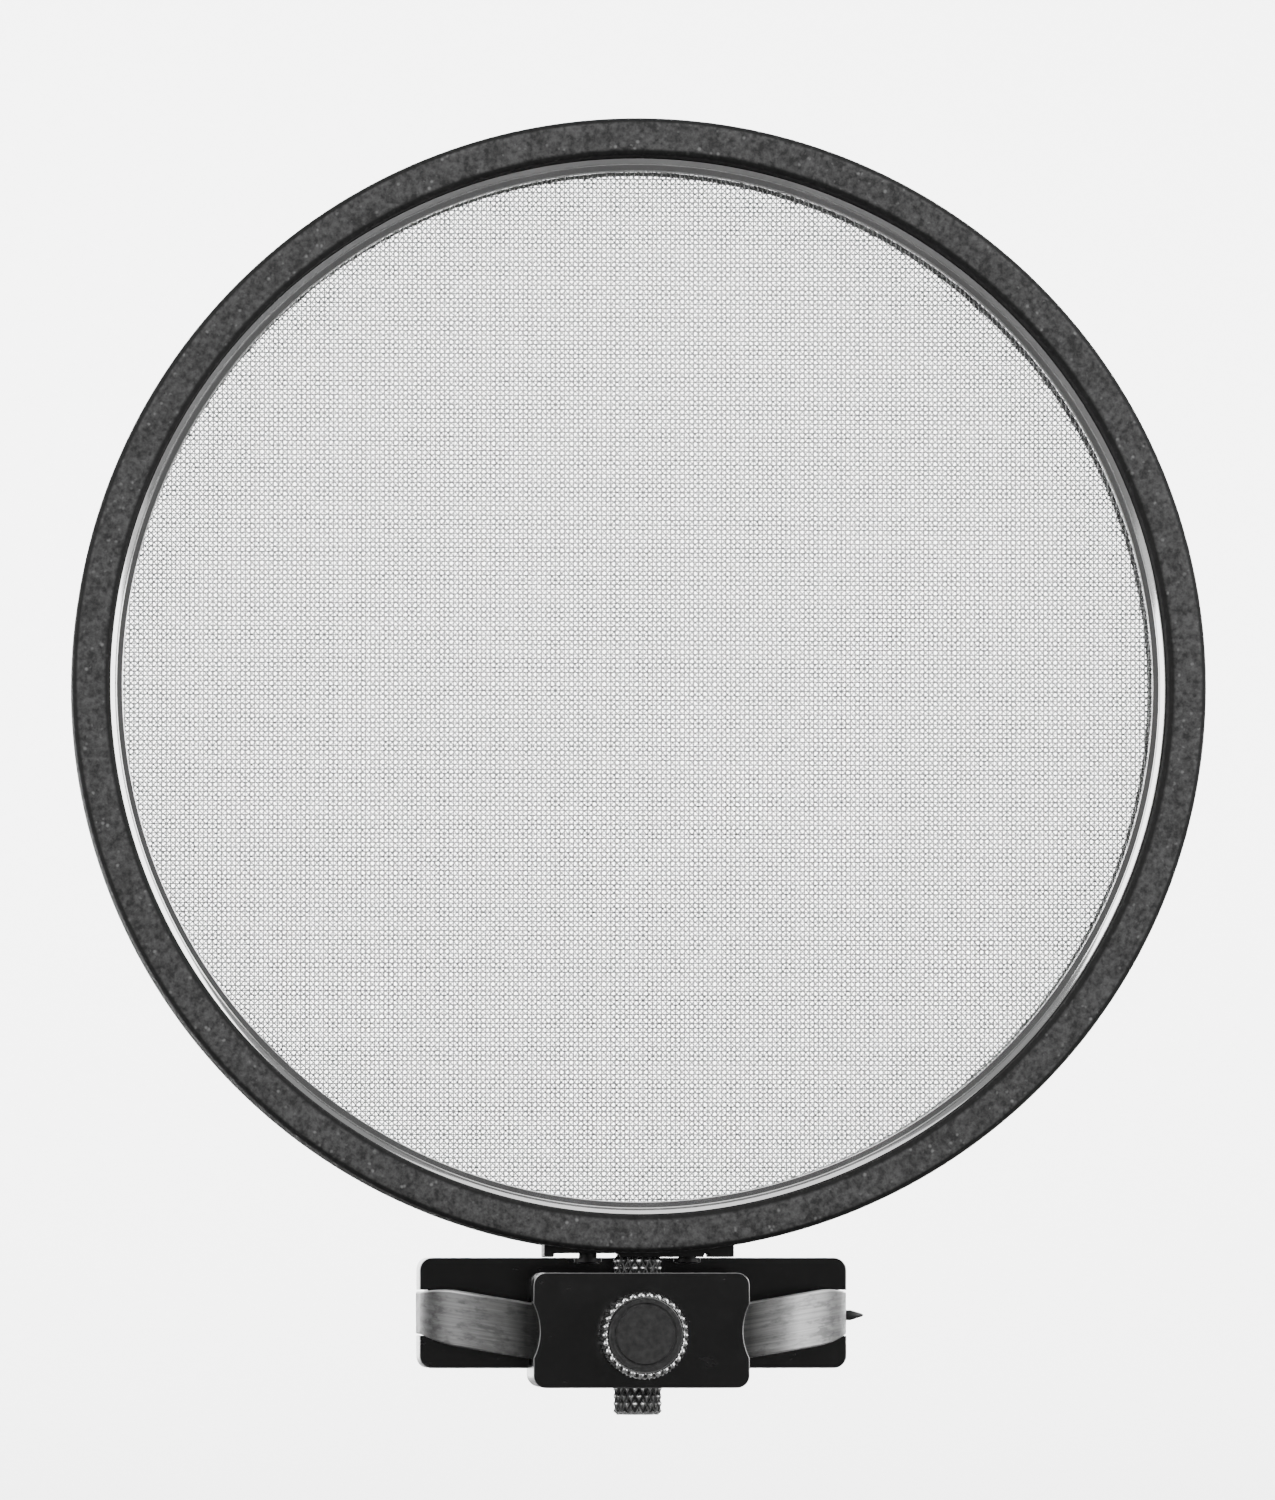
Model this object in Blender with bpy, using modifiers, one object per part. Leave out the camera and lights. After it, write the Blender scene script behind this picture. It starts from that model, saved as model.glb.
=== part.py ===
"""Clamp-on pop filter: a wire-mesh screen on a knurled post, held by a strap clamp.

Metres, +Z up. The origin is the middle of the saddle's flat back land, which bears on
the microphone's neck. +Y points into the neck, -Y towards the voice, +X to the right
as the singer sees it.
"""
import math

import bmesh
import bpy
from mathutils import Matrix, Vector

MM = 0.001
GAP = 0.3 * MM                      # clearance kept between neighbouring pieces

# --- screen ---------------------------------------------------------------
RIM_OUTER_R = 49.0 * MM             # a filter of about 100 mm
RIM_WIDTH = 3.3 * MM                # rubber seen from the front
RIM_HALF_DEPTH = 5.5 * MM
RIM_ROUND = 0.7 * MM
HOOP_OUTER_R = 47.15 * MM
HOOP_INNER_R = 44.45 * MM           # the bright lip inside the rubber
HOOP_THICK = 1.0 * MM
SPACER_HALF = 0.9 * MM
SPACER_INNER_R = 44.95 * MM
MESH_R = 46.85 * MM
MESH_THICK = 0.25 * MM
RING_STEPS = 96

# --- post and foot --------------------------------------------------------
POST_Y = -14.0 * MM                 # the post's axis, in front of the saddle land
POST_R = 2.1 * MM
POST_BOTTOM = -8.75 * MM
STUD_R = 1.3 * MM                   # threaded top of the post, inside the foot
FOOT_BOTTOM = 5.05 * MM
RIM_BOTTOM = 5.2 * MM
RIM_CENTRE_Z = RIM_BOTTOM + RIM_OUTER_R
FOOT_HALF_WIDTH = 8.2 * MM
FOOT_HALF_DEPTH = 2.4 * MM
FOOT_SCREW_X = 4.3 * MM
FOOT_SCREW_R = 0.8 * MM
FOOT_SCREW_HEAD_R = 1.2 * MM
FOOT_SCREW_HEAD = 0.45 * MM

# --- clamp ----------------------------------------------------------------
PLATE_HALF_WIDTH = 18.6 * MM
PLATE_HALF_HEIGHT = 4.8 * MM
PLATE_THICK = 8.0 * MM
CORNER_R = 1.1 * MM
BLOCK_HALF_WIDTH = 9.3 * MM
BLOCK_TOP = 3.5 * MM
BLOCK_BOTTOM = -6.4 * MM
BLOCK_REAR = -PLATE_THICK - GAP
BLOCK_FRONT = -20.0 * MM
BUSH_R = 3.2 * MM
BUSH_SLIT = 0.8 * MM

BLOCK_SCREW_X = 7.2 * MM
BLOCK_SCREW_R = 0.9 * MM
BLOCK_SCREW_HEAD_R = 1.6 * MM
BLOCK_SCREW_SEAT = -4.6 * MM        # where the heads bear, inside the plate
BLOCK_SCREW_TIP = -11.2 * MM

NECK_R = 10.0 * MM                  # radius of the microphone neck that it holds
PAD_ANGLE = math.radians(40.0)      # where the pads touch the neck, from straight ahead
PAD_THICK = 1.0 * MM
PAD_INWARD = 0.85 * MM              # how far each pad runs from the touch, both ways
PAD_OUTWARD = 2.9 * MM

# --- strap ----------------------------------------------------------------
STRAP_THICK = 0.6 * MM
STRAP_X = 18.3 * MM                 # its run past the plate's ends, flush in their notches
STRAP_TURN_Y = 1.2 * MM             # where it leaves them for the neck
STRAP_NARROW = 1.85 * MM            # half widths, past the plate's ends and in front of it
STRAP_WIDE = 2.42 * MM
STRAP_TAPER_X = 15.5 * MM           # where it starts to narrow
STRAP_DROP = -1.5 * MM              # its middle height at the block
LINER_THICK = 0.8 * MM
STRAP_LOOP_R = NECK_R + GAP + LINER_THICK + GAP + STRAP_THICK / 2
STRAP_END = Vector((5.9 * MM, -14.25 * MM))
STRAP_CORNER = Vector((STRAP_X, STRAP_END.y))
STRAP_BEND_R = 7.0 * MM             # in front of the plate's ends
STRAP_SIDE_BEND_R = 5.0 * MM        # behind them
SLOT_Y = (-16.5 * MM, -12.3 * MM)
SLOT_Z = (-4.5 * MM, 1.4 * MM)
SLOT_INNER_X = 5.4 * MM
SCOOP_R = 5.2 * MM                  # the hollow down each side of the block, at the slots
SCOOP_DEPTH = 0.55 * MM
PIN_X = 7.2 * MM
PIN_Y = -15.55 * MM
PIN_R = 0.7 * MM

# --- thumbscrew -----------------------------------------------------------
SCREW_Z = -1.84 * MM
KNOB_R = 3.8 * MM
KNOB_BACK = -21.1 * MM
KNOB_FRONT = -25.4 * MM
KNOB_FACE_R = 3.25 * MM
SHAFT_R = 1.8 * MM
INSERT_R = 3.0 * MM

BODY = bpy.data.collections.new("pop_filter")
CUTTERS = bpy.data.collections.new("cutters")


def clear_scene():
    for obj in list(bpy.data.objects):
        bpy.data.objects.remove(obj, do_unlink=True)
    bpy.context.scene.collection.children.link(BODY)
    bpy.context.scene.collection.children.link(CUTTERS)


def material(name, colour, roughness, metallic=0.0):
    mat = bpy.data.materials.new(name)
    mat.use_nodes = True
    shader = mat.node_tree.nodes["Principled BSDF"]
    shader.inputs["Base Color"].default_value = (*colour, 1.0)
    shader.inputs["Roughness"].default_value = roughness
    shader.inputs["Metallic"].default_value = metallic
    return mat


def place(obj, mat, collection=None):
    """Move an object into its collection, shade it and give it its material."""
    for owner in list(obj.users_collection):
        owner.objects.unlink(obj)
    (collection or BODY).objects.link(obj)
    if mat is not None:
        obj.data.materials.clear()
        obj.data.materials.append(mat)
        obj.data.shade_smooth()
        obj.data.set_sharp_from_angle(angle=math.radians(35))
    return obj


def from_bmesh(name, bm, mat=None, collection=None):
    bmesh.ops.recalc_face_normals(bm, faces=bm.faces)
    mesh = bpy.data.meshes.new(name)
    bm.to_mesh(mesh)
    bm.free()
    obj = bpy.data.objects.new(name, mesh)
    bpy.context.scene.collection.objects.link(obj)
    return place(obj, mat, collection)


def box_bmesh(low, high):
    size = Vector(high) - Vector(low)
    middle = (Vector(high) + Vector(low)) / 2
    bm = bmesh.new()
    bmesh.ops.create_cube(bm, size=1.0)
    bmesh.ops.scale(bm, vec=size, verts=bm.verts)
    bmesh.ops.translate(bm, vec=middle, verts=bm.verts)
    return bm


def bevel_along(bm, axis, width, segments):
    """Round the straight edges that run along one axis."""
    edges = []
    for edge in bm.edges:
        run = (edge.verts[1].co - edge.verts[0].co).normalized()
        if abs(run[axis]) > 0.999:
            edges.append(edge)
    bmesh.ops.bevel(bm, geom=edges, offset=width, segments=segments, affect="EDGES", profile=0.5)


def cylinder_bmesh(radius, start, end, steps=32):
    """A closed cylinder between two points."""
    start = Vector(start)
    end = Vector(end)
    bm = bmesh.new()
    length = (end - start).length
    bmesh.ops.create_cone(bm, cap_ends=True, segments=steps, radius1=radius, radius2=radius, depth=length)
    turn = Vector((0, 0, 1)).rotation_difference(end - start).to_matrix().to_4x4()
    bmesh.ops.transform(bm, matrix=Matrix.Translation((start + end) / 2) @ turn, verts=bm.verts)
    return bm


def turned(name, profile, mat, origin, axis="Z", steps=48):
    """Turn a (radius, height) profile about an axis through origin.

    The profile runs down its outer side. About Y, its height runs towards the voice.
    """
    mesh = bpy.data.meshes.new(name)
    points = [(radius, 0.0, height) for radius, height in profile]
    closed = profile[0][0] > 0 and profile[-1][0] > 0
    edges = [(i, i + 1) for i in range(len(points) - 1)]
    if closed:
        edges.append((len(points) - 1, 0))
    mesh.from_pydata(points, edges, [])
    obj = bpy.data.objects.new(name, mesh)
    bpy.context.scene.collection.objects.link(obj)
    obj.location = origin
    if axis == "Y":
        obj.rotation_euler = (math.radians(90), 0, 0)
    screw = obj.modifiers.new("turn", "SCREW")
    screw.steps = steps
    screw.render_steps = steps
    screw.use_merge_vertices = True
    screw.merge_threshold = 0.00001
    return place(obj, mat)


def cut(target, *cutters):
    """Take the cutters' shapes out of a piece."""
    for cutter in cutters:
        cutter.hide_render = True
        cutter.display_type = "WIRE"
        mod = target.modifiers.new(cutter.name, "BOOLEAN")
        mod.operation = "DIFFERENCE"
        mod.solver = "EXACT"
        mod.object = cutter


def box_cutter(name, low, high):
    return from_bmesh(name, box_bmesh(low, high), collection=CUTTERS)


def bore_cutter(name, radius, start, end, steps=32):
    return from_bmesh(name, cylinder_bmesh(radius, start, end, steps), collection=CUTTERS)


def rounded_path(points, radii, step):
    """A flat path through points, its inner corners rounded to the radii given."""
    path = [points[0]]
    for before, corner, after, radius in zip(points, points[1:], points[2:], radii):
        inward = (before - corner).normalized()
        onward = (after - corner).normalized()
        half = inward.angle(onward) / 2
        reach = radius / math.tan(half)
        centre = corner + (inward + onward).normalized() * (radius / math.sin(half))
        first = corner + inward * reach - centre
        last = corner + onward * reach - centre
        sweep = first.angle_signed(last)
        count = max(2, math.ceil(abs(sweep) * radius / step))
        start_angle = math.atan2(first.y, first.x)
        for i in range(count + 1):
            angle = start_angle - sweep * i / count
            path.append(centre + Vector((math.cos(angle), math.sin(angle))) * radius)
    path.append(points[-1])
    return path


def evenly(path, step):
    """The same path with points about one step apart on its straight runs too."""
    result = [path[0]]
    for start, end in zip(path, path[1:]):
        count = max(1, math.ceil((end - start).length / step))
        for i in range(1, count + 1):
            result.append(start.lerp(end, i / count))
    return result


# --- screen ---------------------------------------------------------------

def ring_origin():
    return (0, POST_Y, RIM_CENTRE_Z)


def rim_trim(mat):
    """The rubber channel round the rim, slotted underneath for the foot."""
    inner = RIM_OUTER_R - RIM_WIDTH
    groove = SPACER_HALF + GAP + MESH_THICK + GAP + HOOP_THICK + GAP
    floor = HOOP_OUTER_R + GAP
    depth = RIM_HALF_DEPTH
    edge = RIM_ROUND * (1 - math.sqrt(0.5))
    profile = [
        (RIM_OUTER_R - RIM_ROUND, depth),
        (RIM_OUTER_R - edge, depth - edge),
        (RIM_OUTER_R, depth - RIM_ROUND),
        (RIM_OUTER_R, RIM_ROUND - depth),
        (RIM_OUTER_R - edge, edge - depth),
        (RIM_OUTER_R - RIM_ROUND, -depth),
        (inner + GAP, -depth),
        (inner, GAP - depth),
        (inner, -groove),
        (floor, -groove),
        (floor, groove),
        (inner, groove),
        (inner, depth - GAP),
        (inner + GAP, depth),
    ]
    trim = turned("rim_trim", profile, mat, ring_origin(), axis="Y", steps=RING_STEPS)
    reach = FOOT_HALF_WIDTH + GAP
    half = FOOT_HALF_DEPTH + GAP
    low = (-reach, POST_Y - half, RIM_BOTTOM - 2 * MM)
    high = (reach, POST_Y + half, RIM_BOTTOM + 4 * MM)
    cut(trim, box_cutter("cut_trim_slot", low, high))
    return trim


def ring(name, inner, outer, low, high, mat, soften=0.0):
    """A flat ring in the screen's plane, between two depths from its middle."""
    profile = [
        (outer, high),
        (outer, low),
        (inner + soften, low),
        (inner, low + soften),
        (inner, high - soften),
        (inner + soften, high),
    ]
    if soften == 0.0:
        profile = [(outer, high), (outer, low), (inner, low), (inner, high)]
    return turned(name, profile, mat, ring_origin(), axis="Y", steps=RING_STEPS)


def mesh_disc(name, low, mat):
    profile = [(0, low + MESH_THICK), (MESH_R, low + MESH_THICK), (MESH_R, low), (0, low)]
    return turned(name, profile, mat, ring_origin(), axis="Y", steps=RING_STEPS)


def screen_stack(steel, wire):
    """Hoop, mesh, spacer, mesh, hoop: the sandwich that the rubber grips."""
    mesh_low = SPACER_HALF + GAP
    hoop_low = mesh_low + MESH_THICK + GAP
    ring("spacer_ring", SPACER_INNER_R, HOOP_OUTER_R, -SPACER_HALF, SPACER_HALF, steel)
    mesh_disc("front_mesh", mesh_low, wire)
    mesh_disc("rear_mesh", -mesh_low - MESH_THICK, wire)
    ring("front_hoop", HOOP_INNER_R, HOOP_OUTER_R, hoop_low, hoop_low + HOOP_THICK, steel, GAP)
    ring("rear_hoop", HOOP_INNER_R, HOOP_OUTER_R, -hoop_low - HOOP_THICK, -hoop_low, steel, GAP)


def hoop_foot(mat):
    """The block that joins the rim to the post, hollowed on top to the hoops' radius."""
    low = (-FOOT_HALF_WIDTH, POST_Y - FOOT_HALF_DEPTH, FOOT_BOTTOM)
    high = (FOOT_HALF_WIDTH, POST_Y + FOOT_HALF_DEPTH, FOOT_BOTTOM + 4 * MM)
    bm = box_bmesh(low, high)
    bevel_along(bm, 2, 0.5 * MM, 2)
    foot = from_bmesh("hoop_foot", bm, mat)
    top = HOOP_OUTER_R + GAP
    start = (0, POST_Y - RIM_HALF_DEPTH, RIM_CENTRE_Z)
    end = (0, POST_Y + RIM_HALF_DEPTH, RIM_CENTRE_Z)
    cut(foot, bore_cutter("cut_foot_top", top, start, end, steps=192))
    cut(foot, bore_cutter("cut_foot_stud", STUD_R + GAP, (0, POST_Y, 0), (0, POST_Y, 12 * MM)))
    for side, x in (("left", -FOOT_SCREW_X), ("right", FOOT_SCREW_X)):
        low_end = (x, POST_Y, 0)
        high_end = (x, POST_Y, 12 * MM)
        cut(foot, bore_cutter("cut_foot_screw_" + side, FOOT_SCREW_R + GAP, low_end, high_end, steps=20))
    return foot


def foot_screws(mat):
    shoulder = FOOT_BOTTOM - GAP
    head = shoulder - FOOT_SCREW_HEAD
    tip = RIM_CENTRE_Z - HOOP_OUTER_R - GAP - 0.1 * MM
    profile = [
        (0, tip),
        (FOOT_SCREW_R, tip),
        (FOOT_SCREW_R, shoulder),
        (FOOT_SCREW_HEAD_R, shoulder),
        (FOOT_SCREW_HEAD_R, head + 0.15 * MM),
        (FOOT_SCREW_HEAD_R - 0.15 * MM, head),
        (0, head),
    ]
    for side, x in (("left", -FOOT_SCREW_X), ("right", FOOT_SCREW_X)):
        turned("foot_screw_" + side, profile, mat, (x, POST_Y, 0), steps=20)


def knurled_post(mat):
    """The upright that the clamp grips, with the threaded stud that holds the foot."""
    chamfer = 0.3 * MM
    top = FOOT_BOTTOM - GAP
    stud_top = RIM_CENTRE_Z - HOOP_OUTER_R - GAP - 0.1 * MM
    profile = [
        (0, stud_top),
        (STUD_R, stud_top),
        (STUD_R, top),
        (POST_R - chamfer, top),
        (POST_R, top - chamfer),
        (POST_R, POST_BOTTOM + chamfer),
        (POST_R - chamfer, POST_BOTTOM),
        (0, POST_BOTTOM),
    ]
    return turned("knurled_post", profile, mat, (0, POST_Y, 0), steps=40)


# --- clamp ----------------------------------------------------------------

def pad_frame():
    """Where a pad touches the neck, the way along its face, and the way out of the neck."""
    touch = Vector((NECK_R * math.sin(PAD_ANGLE), NECK_R - NECK_R * math.cos(PAD_ANGLE)))
    along = Vector((math.cos(PAD_ANGLE), math.sin(PAD_ANGLE)))
    out = Vector((math.sin(PAD_ANGLE), -math.cos(PAD_ANGLE)))
    return touch, along, out


def saddle_plate(mat):
    """The cross bar: two horns that cradle the neck, a land between, a notch in each end."""
    touch, along, out = pad_frame()
    seat = touch + out * (PAD_THICK + GAP)
    foot = seat - along * (seat.y / along.y)
    crest = foot + along * 5.6 * MM
    right = [
        Vector((PLATE_HALF_WIDTH, -PLATE_THICK)),
        Vector((PLATE_HALF_WIDTH, -0.9 * MM)),
        Vector((PLATE_HALF_WIDTH - 0.9 * MM, 0)),
        Vector((15.2 * MM, 0)),
        Vector((12.6 * MM, crest.y)),
        crest,
        foot,
    ]
    left = [Vector((-point.x, point.y)) for point in reversed(right)]
    outline = right + left
    bm = bmesh.new()
    floor = [bm.verts.new((p.x, p.y, -PLATE_HALF_HEIGHT)) for p in outline]
    face = bm.faces.new(floor)
    lifted = bmesh.ops.extrude_face_region(bm, geom=[face])
    moved = [item for item in lifted["geom"] if isinstance(item, bmesh.types.BMVert)]
    bmesh.ops.translate(bm, vec=(0, 0, 2 * PLATE_HALF_HEIGHT), verts=moved)
    bevel_along(bm, 1, CORNER_R, 4)
    plate = from_bmesh("saddle_plate", bm, mat)
    notch_x = STRAP_X - STRAP_THICK / 2 - GAP
    notch_z = STRAP_NARROW + GAP
    for side, mirror in (("left", -1), ("right", 1)):
        inner = mirror * notch_x
        outer = mirror * (PLATE_HALF_WIDTH + MM)
        low = (min(inner, outer), -PLATE_THICK - MM, -notch_z)
        high = (max(inner, outer), MM, notch_z)
        cut(plate, box_cutter("cut_plate_notch_" + side, low, high))
    for side, x in (("left", -BLOCK_SCREW_X), ("right", BLOCK_SCREW_X)):
        shank = bore_cutter("cut_plate_shank_" + side, BLOCK_SCREW_R + GAP,
                            (x, -PLATE_THICK - MM, 0), (x, 0, 0), steps=24)
        head = bore_cutter("cut_plate_head_" + side, BLOCK_SCREW_HEAD_R + GAP,
                           (x, BLOCK_SCREW_SEAT, 0), (x, 8 * MM, 0), steps=32)
        cut(plate, shank, head)
    return plate


def block_screws(mat):
    seat = BLOCK_SCREW_SEAT + GAP
    top = seat + 1.4 * MM
    profile = [
        (0, -BLOCK_SCREW_TIP),
        (BLOCK_SCREW_R - GAP, -BLOCK_SCREW_TIP),
        (BLOCK_SCREW_R, -BLOCK_SCREW_TIP - GAP),
        (BLOCK_SCREW_R, -seat),
        (BLOCK_SCREW_HEAD_R, -seat),
        (BLOCK_SCREW_HEAD_R, -top + 0.3 * MM),
        (BLOCK_SCREW_HEAD_R - 0.3 * MM, -top),
        (0, -top),
    ]
    for side, x in (("left", -BLOCK_SCREW_X), ("right", BLOCK_SCREW_X)):
        turned("block_screw_" + side, profile, mat, (x, 0, 0), axis="Y", steps=24)


def saddle_pads(mat):
    """Rubber strips on the horns' slopes, bowed to the neck they bear on."""
    touch, along, out = pad_frame()
    start = touch - along * PAD_INWARD
    end = touch + along * PAD_OUTWARD
    corners = [start, end, end + out * PAD_THICK, start + out * PAD_THICK]
    half = PLATE_HALF_HEIGHT - 0.6 * MM
    for side, mirror in (("left", -1), ("right", 1)):
        bm = bmesh.new()
        floor = [bm.verts.new((p.x * mirror, p.y, -half)) for p in corners]
        face = bm.faces.new(floor)
        lifted = bmesh.ops.extrude_face_region(bm, geom=[face])
        moved = [item for item in lifted["geom"] if isinstance(item, bmesh.types.BMVert)]
        bmesh.ops.translate(bm, vec=(0, 0, 2 * half), verts=moved)
        bevel_along(bm, 2, 0.2 * MM, 2)
        from_bmesh("saddle_pad_" + side, bm, mat)


def clamp_block(mat):
    """The front block: bored for the bush, drilled for the thumbscrew, slotted for the strap."""
    low = (-BLOCK_HALF_WIDTH, BLOCK_FRONT, BLOCK_BOTTOM)
    high = (BLOCK_HALF_WIDTH, BLOCK_REAR, BLOCK_TOP)
    bm = box_bmesh(low, high)
    bevel_along(bm, 1, CORNER_R, 4)
    front = [edge for edge in bm.edges if all(v.co.y < BLOCK_FRONT + 0.01 * MM for v in edge.verts)]
    bmesh.ops.bevel(bm, geom=front, offset=0.35 * MM, segments=2, affect="EDGES", profile=0.5)
    block = from_bmesh("clamp_block", bm, mat)
    below = (0, POST_Y, BLOCK_BOTTOM - MM)
    above = (0, POST_Y, BLOCK_TOP + MM)
    cut(block, bore_cutter("cut_block_bush", BUSH_R + GAP, below, above, steps=48))
    entry = (0, BLOCK_FRONT - MM, SCREW_Z)
    cut(block, bore_cutter("cut_block_insert", INSERT_R + GAP, entry, (0, POST_Y, SCREW_Z), steps=48))
    for side, mirror in (("left", -1), ("right", 1)):
        inner = mirror * SLOT_INNER_X
        outer = mirror * (BLOCK_HALF_WIDTH + MM)
        slot_low = (min(inner, outer), SLOT_Y[0], SLOT_Z[0])
        slot_high = (max(inner, outer), SLOT_Y[1], SLOT_Z[1])
        cut(block, box_cutter("cut_block_slot_" + side, slot_low, slot_high))
        scoop_x = mirror * (BLOCK_HALF_WIDTH - SCOOP_DEPTH + SCOOP_R)
        scoop_from = (scoop_x, BLOCK_FRONT - MM, STRAP_DROP)
        scoop_to = (scoop_x, BLOCK_REAR + MM, STRAP_DROP)
        cut(block, bore_cutter("cut_block_scoop_" + side, SCOOP_R, scoop_from, scoop_to, steps=64))
        pin_x = mirror * PIN_X
        pin_low = (pin_x, PIN_Y, BLOCK_BOTTOM - MM)
        pin_high = (pin_x, PIN_Y, BLOCK_TOP - 0.8 * MM)
        cut(block, bore_cutter("cut_block_pin_" + side, PIN_R + GAP, pin_low, pin_high, steps=20))
        screw_x = mirror * BLOCK_SCREW_X
        screw_in = (screw_x, -PLATE_THICK + MM, 0)
        screw_out = (screw_x, BLOCK_SCREW_TIP - GAP, 0)
        cut(block, bore_cutter("cut_block_screw_" + side, BLOCK_SCREW_R + GAP, screw_in, screw_out, steps=24))
    return block


def strap_pins(mat):
    bottom = BLOCK_BOTTOM + GAP
    top = BLOCK_TOP - 0.8 * MM - GAP
    chamfer = 0.15 * MM
    profile = [
        (0, top),
        (PIN_R - chamfer, top),
        (PIN_R, top - chamfer),
        (PIN_R, bottom + chamfer),
        (PIN_R - chamfer, bottom),
        (0, bottom),
    ]
    for side, mirror in (("left", -1), ("right", 1)):
        turned("strap_pin_" + side, profile, mat, (mirror * PIN_X, PIN_Y, 0), steps=20)


def strap_path():
    """The strap's middle line seen from above, from the left slot round to the right one."""
    turn = Vector((STRAP_X, STRAP_TURN_Y))
    to_neck = Vector((0, NECK_R)) - turn
    lean = math.asin(STRAP_LOOP_R / to_neck.length)
    rise = math.atan2(to_neck.y, -to_neck.x) + lean
    apex = Vector((0, STRAP_TURN_Y + STRAP_X * math.tan(rise)))
    half = [STRAP_END, STRAP_CORNER, turn]
    points = [Vector((-p.x, p.y)) for p in half] + [apex] + list(reversed(half))
    bends = [STRAP_BEND_R, STRAP_SIDE_BEND_R]
    radii = bends + [STRAP_LOOP_R] + list(reversed(bends))
    return evenly(rounded_path(points, radii, 0.9 * MM), 1.6 * MM)


def strap_section(point):
    """Middle height and half width of the strap at a point: it dips and widens to the block."""
    if point.y > STRAP_CORNER.y + STRAP_BEND_R:
        return 0.0, STRAP_NARROW
    rise = (abs(point.x) - BLOCK_HALF_WIDTH) / (STRAP_X - BLOCK_HALF_WIDTH)
    rise = min(1.0, max(0.0, rise))
    taper = (abs(point.x) - STRAP_TAPER_X) / (STRAP_X - STRAP_TAPER_X)
    taper = min(1.0, max(0.0, taper))
    height = STRAP_DROP * (1 - rise)
    half = STRAP_WIDE + (STRAP_NARROW - STRAP_WIDE) * taper * taper
    return height, half


def band(name, path, section, thickness, mat):
    """A flat band standing on edge along a path, as a strip made solid."""
    bm = bmesh.new()
    rows = []
    for point in path:
        height, half = section(point)
        low = bm.verts.new((point.x, point.y, height - half))
        middle = bm.verts.new((point.x, point.y, height))
        high = bm.verts.new((point.x, point.y, height + half))
        rows.append((low, middle, high))
    for before, after in zip(rows, rows[1:]):
        bm.faces.new((before[0], after[0], after[1], before[1]))
        bm.faces.new((before[1], after[1], after[2], before[2]))
    obj = from_bmesh(name, bm, mat)
    solid = obj.modifiers.new("thickness", "SOLIDIFY")
    solid.thickness = thickness
    solid.offset = 0.0
    solid.use_even_offset = True
    return obj


def strap_liner(mat):
    """A rubber strip between the strap and the back of the neck."""
    radius = NECK_R + GAP + LINER_THICK / 2
    count = 26
    spread = math.radians(62)
    path = []
    for i in range(count + 1):
        angle = math.radians(90) + spread - 2 * spread * i / count
        path.append(Vector((radius * math.cos(angle), NECK_R + radius * math.sin(angle))))
    return band("strap_liner", path, lambda point: (0.0, STRAP_NARROW), LINER_THICK, mat)


def strap_hook(mat):
    """The release hook at the right end of the strap: a small plate with a pointed tongue."""
    outside = STRAP_X + STRAP_THICK / 2 + GAP
    tip = outside + 1.3 * MM
    height = -0.2 * MM
    middle = -6.0 * MM
    low = (outside, middle - 0.8 * MM, height - 0.45 * MM)
    high = (tip, middle + 0.8 * MM, height + 0.45 * MM)
    bm = box_bmesh(low, high)
    for vert in bm.verts:
        if vert.co.x > outside + 0.5 * MM:
            vert.co.z = height + (vert.co.z - height) * 0.35
            vert.co.y = middle + (vert.co.y - middle) * 0.5
    return from_bmesh("strap_hook", bm, mat)


def post_bush(mat):
    """A split sleeve round the post, turning in the block and squeezed by the shoe."""
    inner = POST_R + GAP
    low = BLOCK_BOTTOM + 0.3 * MM
    high = BLOCK_TOP - 0.3 * MM
    chamfer = 0.25 * MM
    profile = [
        (BUSH_R - chamfer, high),
        (BUSH_R, high - chamfer),
        (BUSH_R, low + chamfer),
        (BUSH_R - chamfer, low),
        (inner, low),
        (inner, high),
    ]
    bush = turned("post_bush", profile, mat, (0, POST_Y, 0), steps=40)
    slit_low = (-BUSH_SLIT / 2, POST_Y, low - MM)
    slit_high = (BUSH_SLIT / 2, POST_Y + BUSH_R + MM, high + MM)
    cut(bush, box_cutter("cut_bush_slit", slit_low, slit_high))
    return bush


# --- thumbscrew -----------------------------------------------------------

def screw_origin():
    return (0, 0, SCREW_Z)


def thumb_insert(mat):
    """The brass thread that the thumbscrew turns in."""
    inner = SHAFT_R + GAP
    front = -BLOCK_FRONT - 0.15 * MM
    back = 17.8 * MM
    profile = [(INSERT_R, front), (INSERT_R, back), (inner, back), (inner, front)]
    return turned("thumb_insert", profile, mat, screw_origin(), axis="Y", steps=40)


def thumb_washer(mat):
    front = -BLOCK_FRONT + GAP + 0.45 * MM
    back = -BLOCK_FRONT + GAP
    outer = 3.2 * MM
    inner = SHAFT_R + GAP
    profile = [(outer, front), (outer, back), (inner, back), (inner, front)]
    return turned("thumb_washer", profile, mat, screw_origin(), axis="Y", steps=40)


def thumb_head(mat):
    """The knurled head, a cup that holds the dark face disc."""
    front = -KNOB_FRONT
    back = -KNOB_BACK
    chamfer = 0.35 * MM
    bore = SHAFT_R + GAP
    cup = front - 1.1 * MM
    profile = [
        (KNOB_R - chamfer, front),
        (KNOB_R, front - chamfer),
        (KNOB_R, back + chamfer),
        (KNOB_R - chamfer, back),
        (bore, back),
        (bore, cup),
        (KNOB_FACE_R, cup),
        (KNOB_FACE_R, front),
    ]
    return turned("thumb_head", profile, mat, screw_origin(), axis="Y", steps=60)


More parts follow.
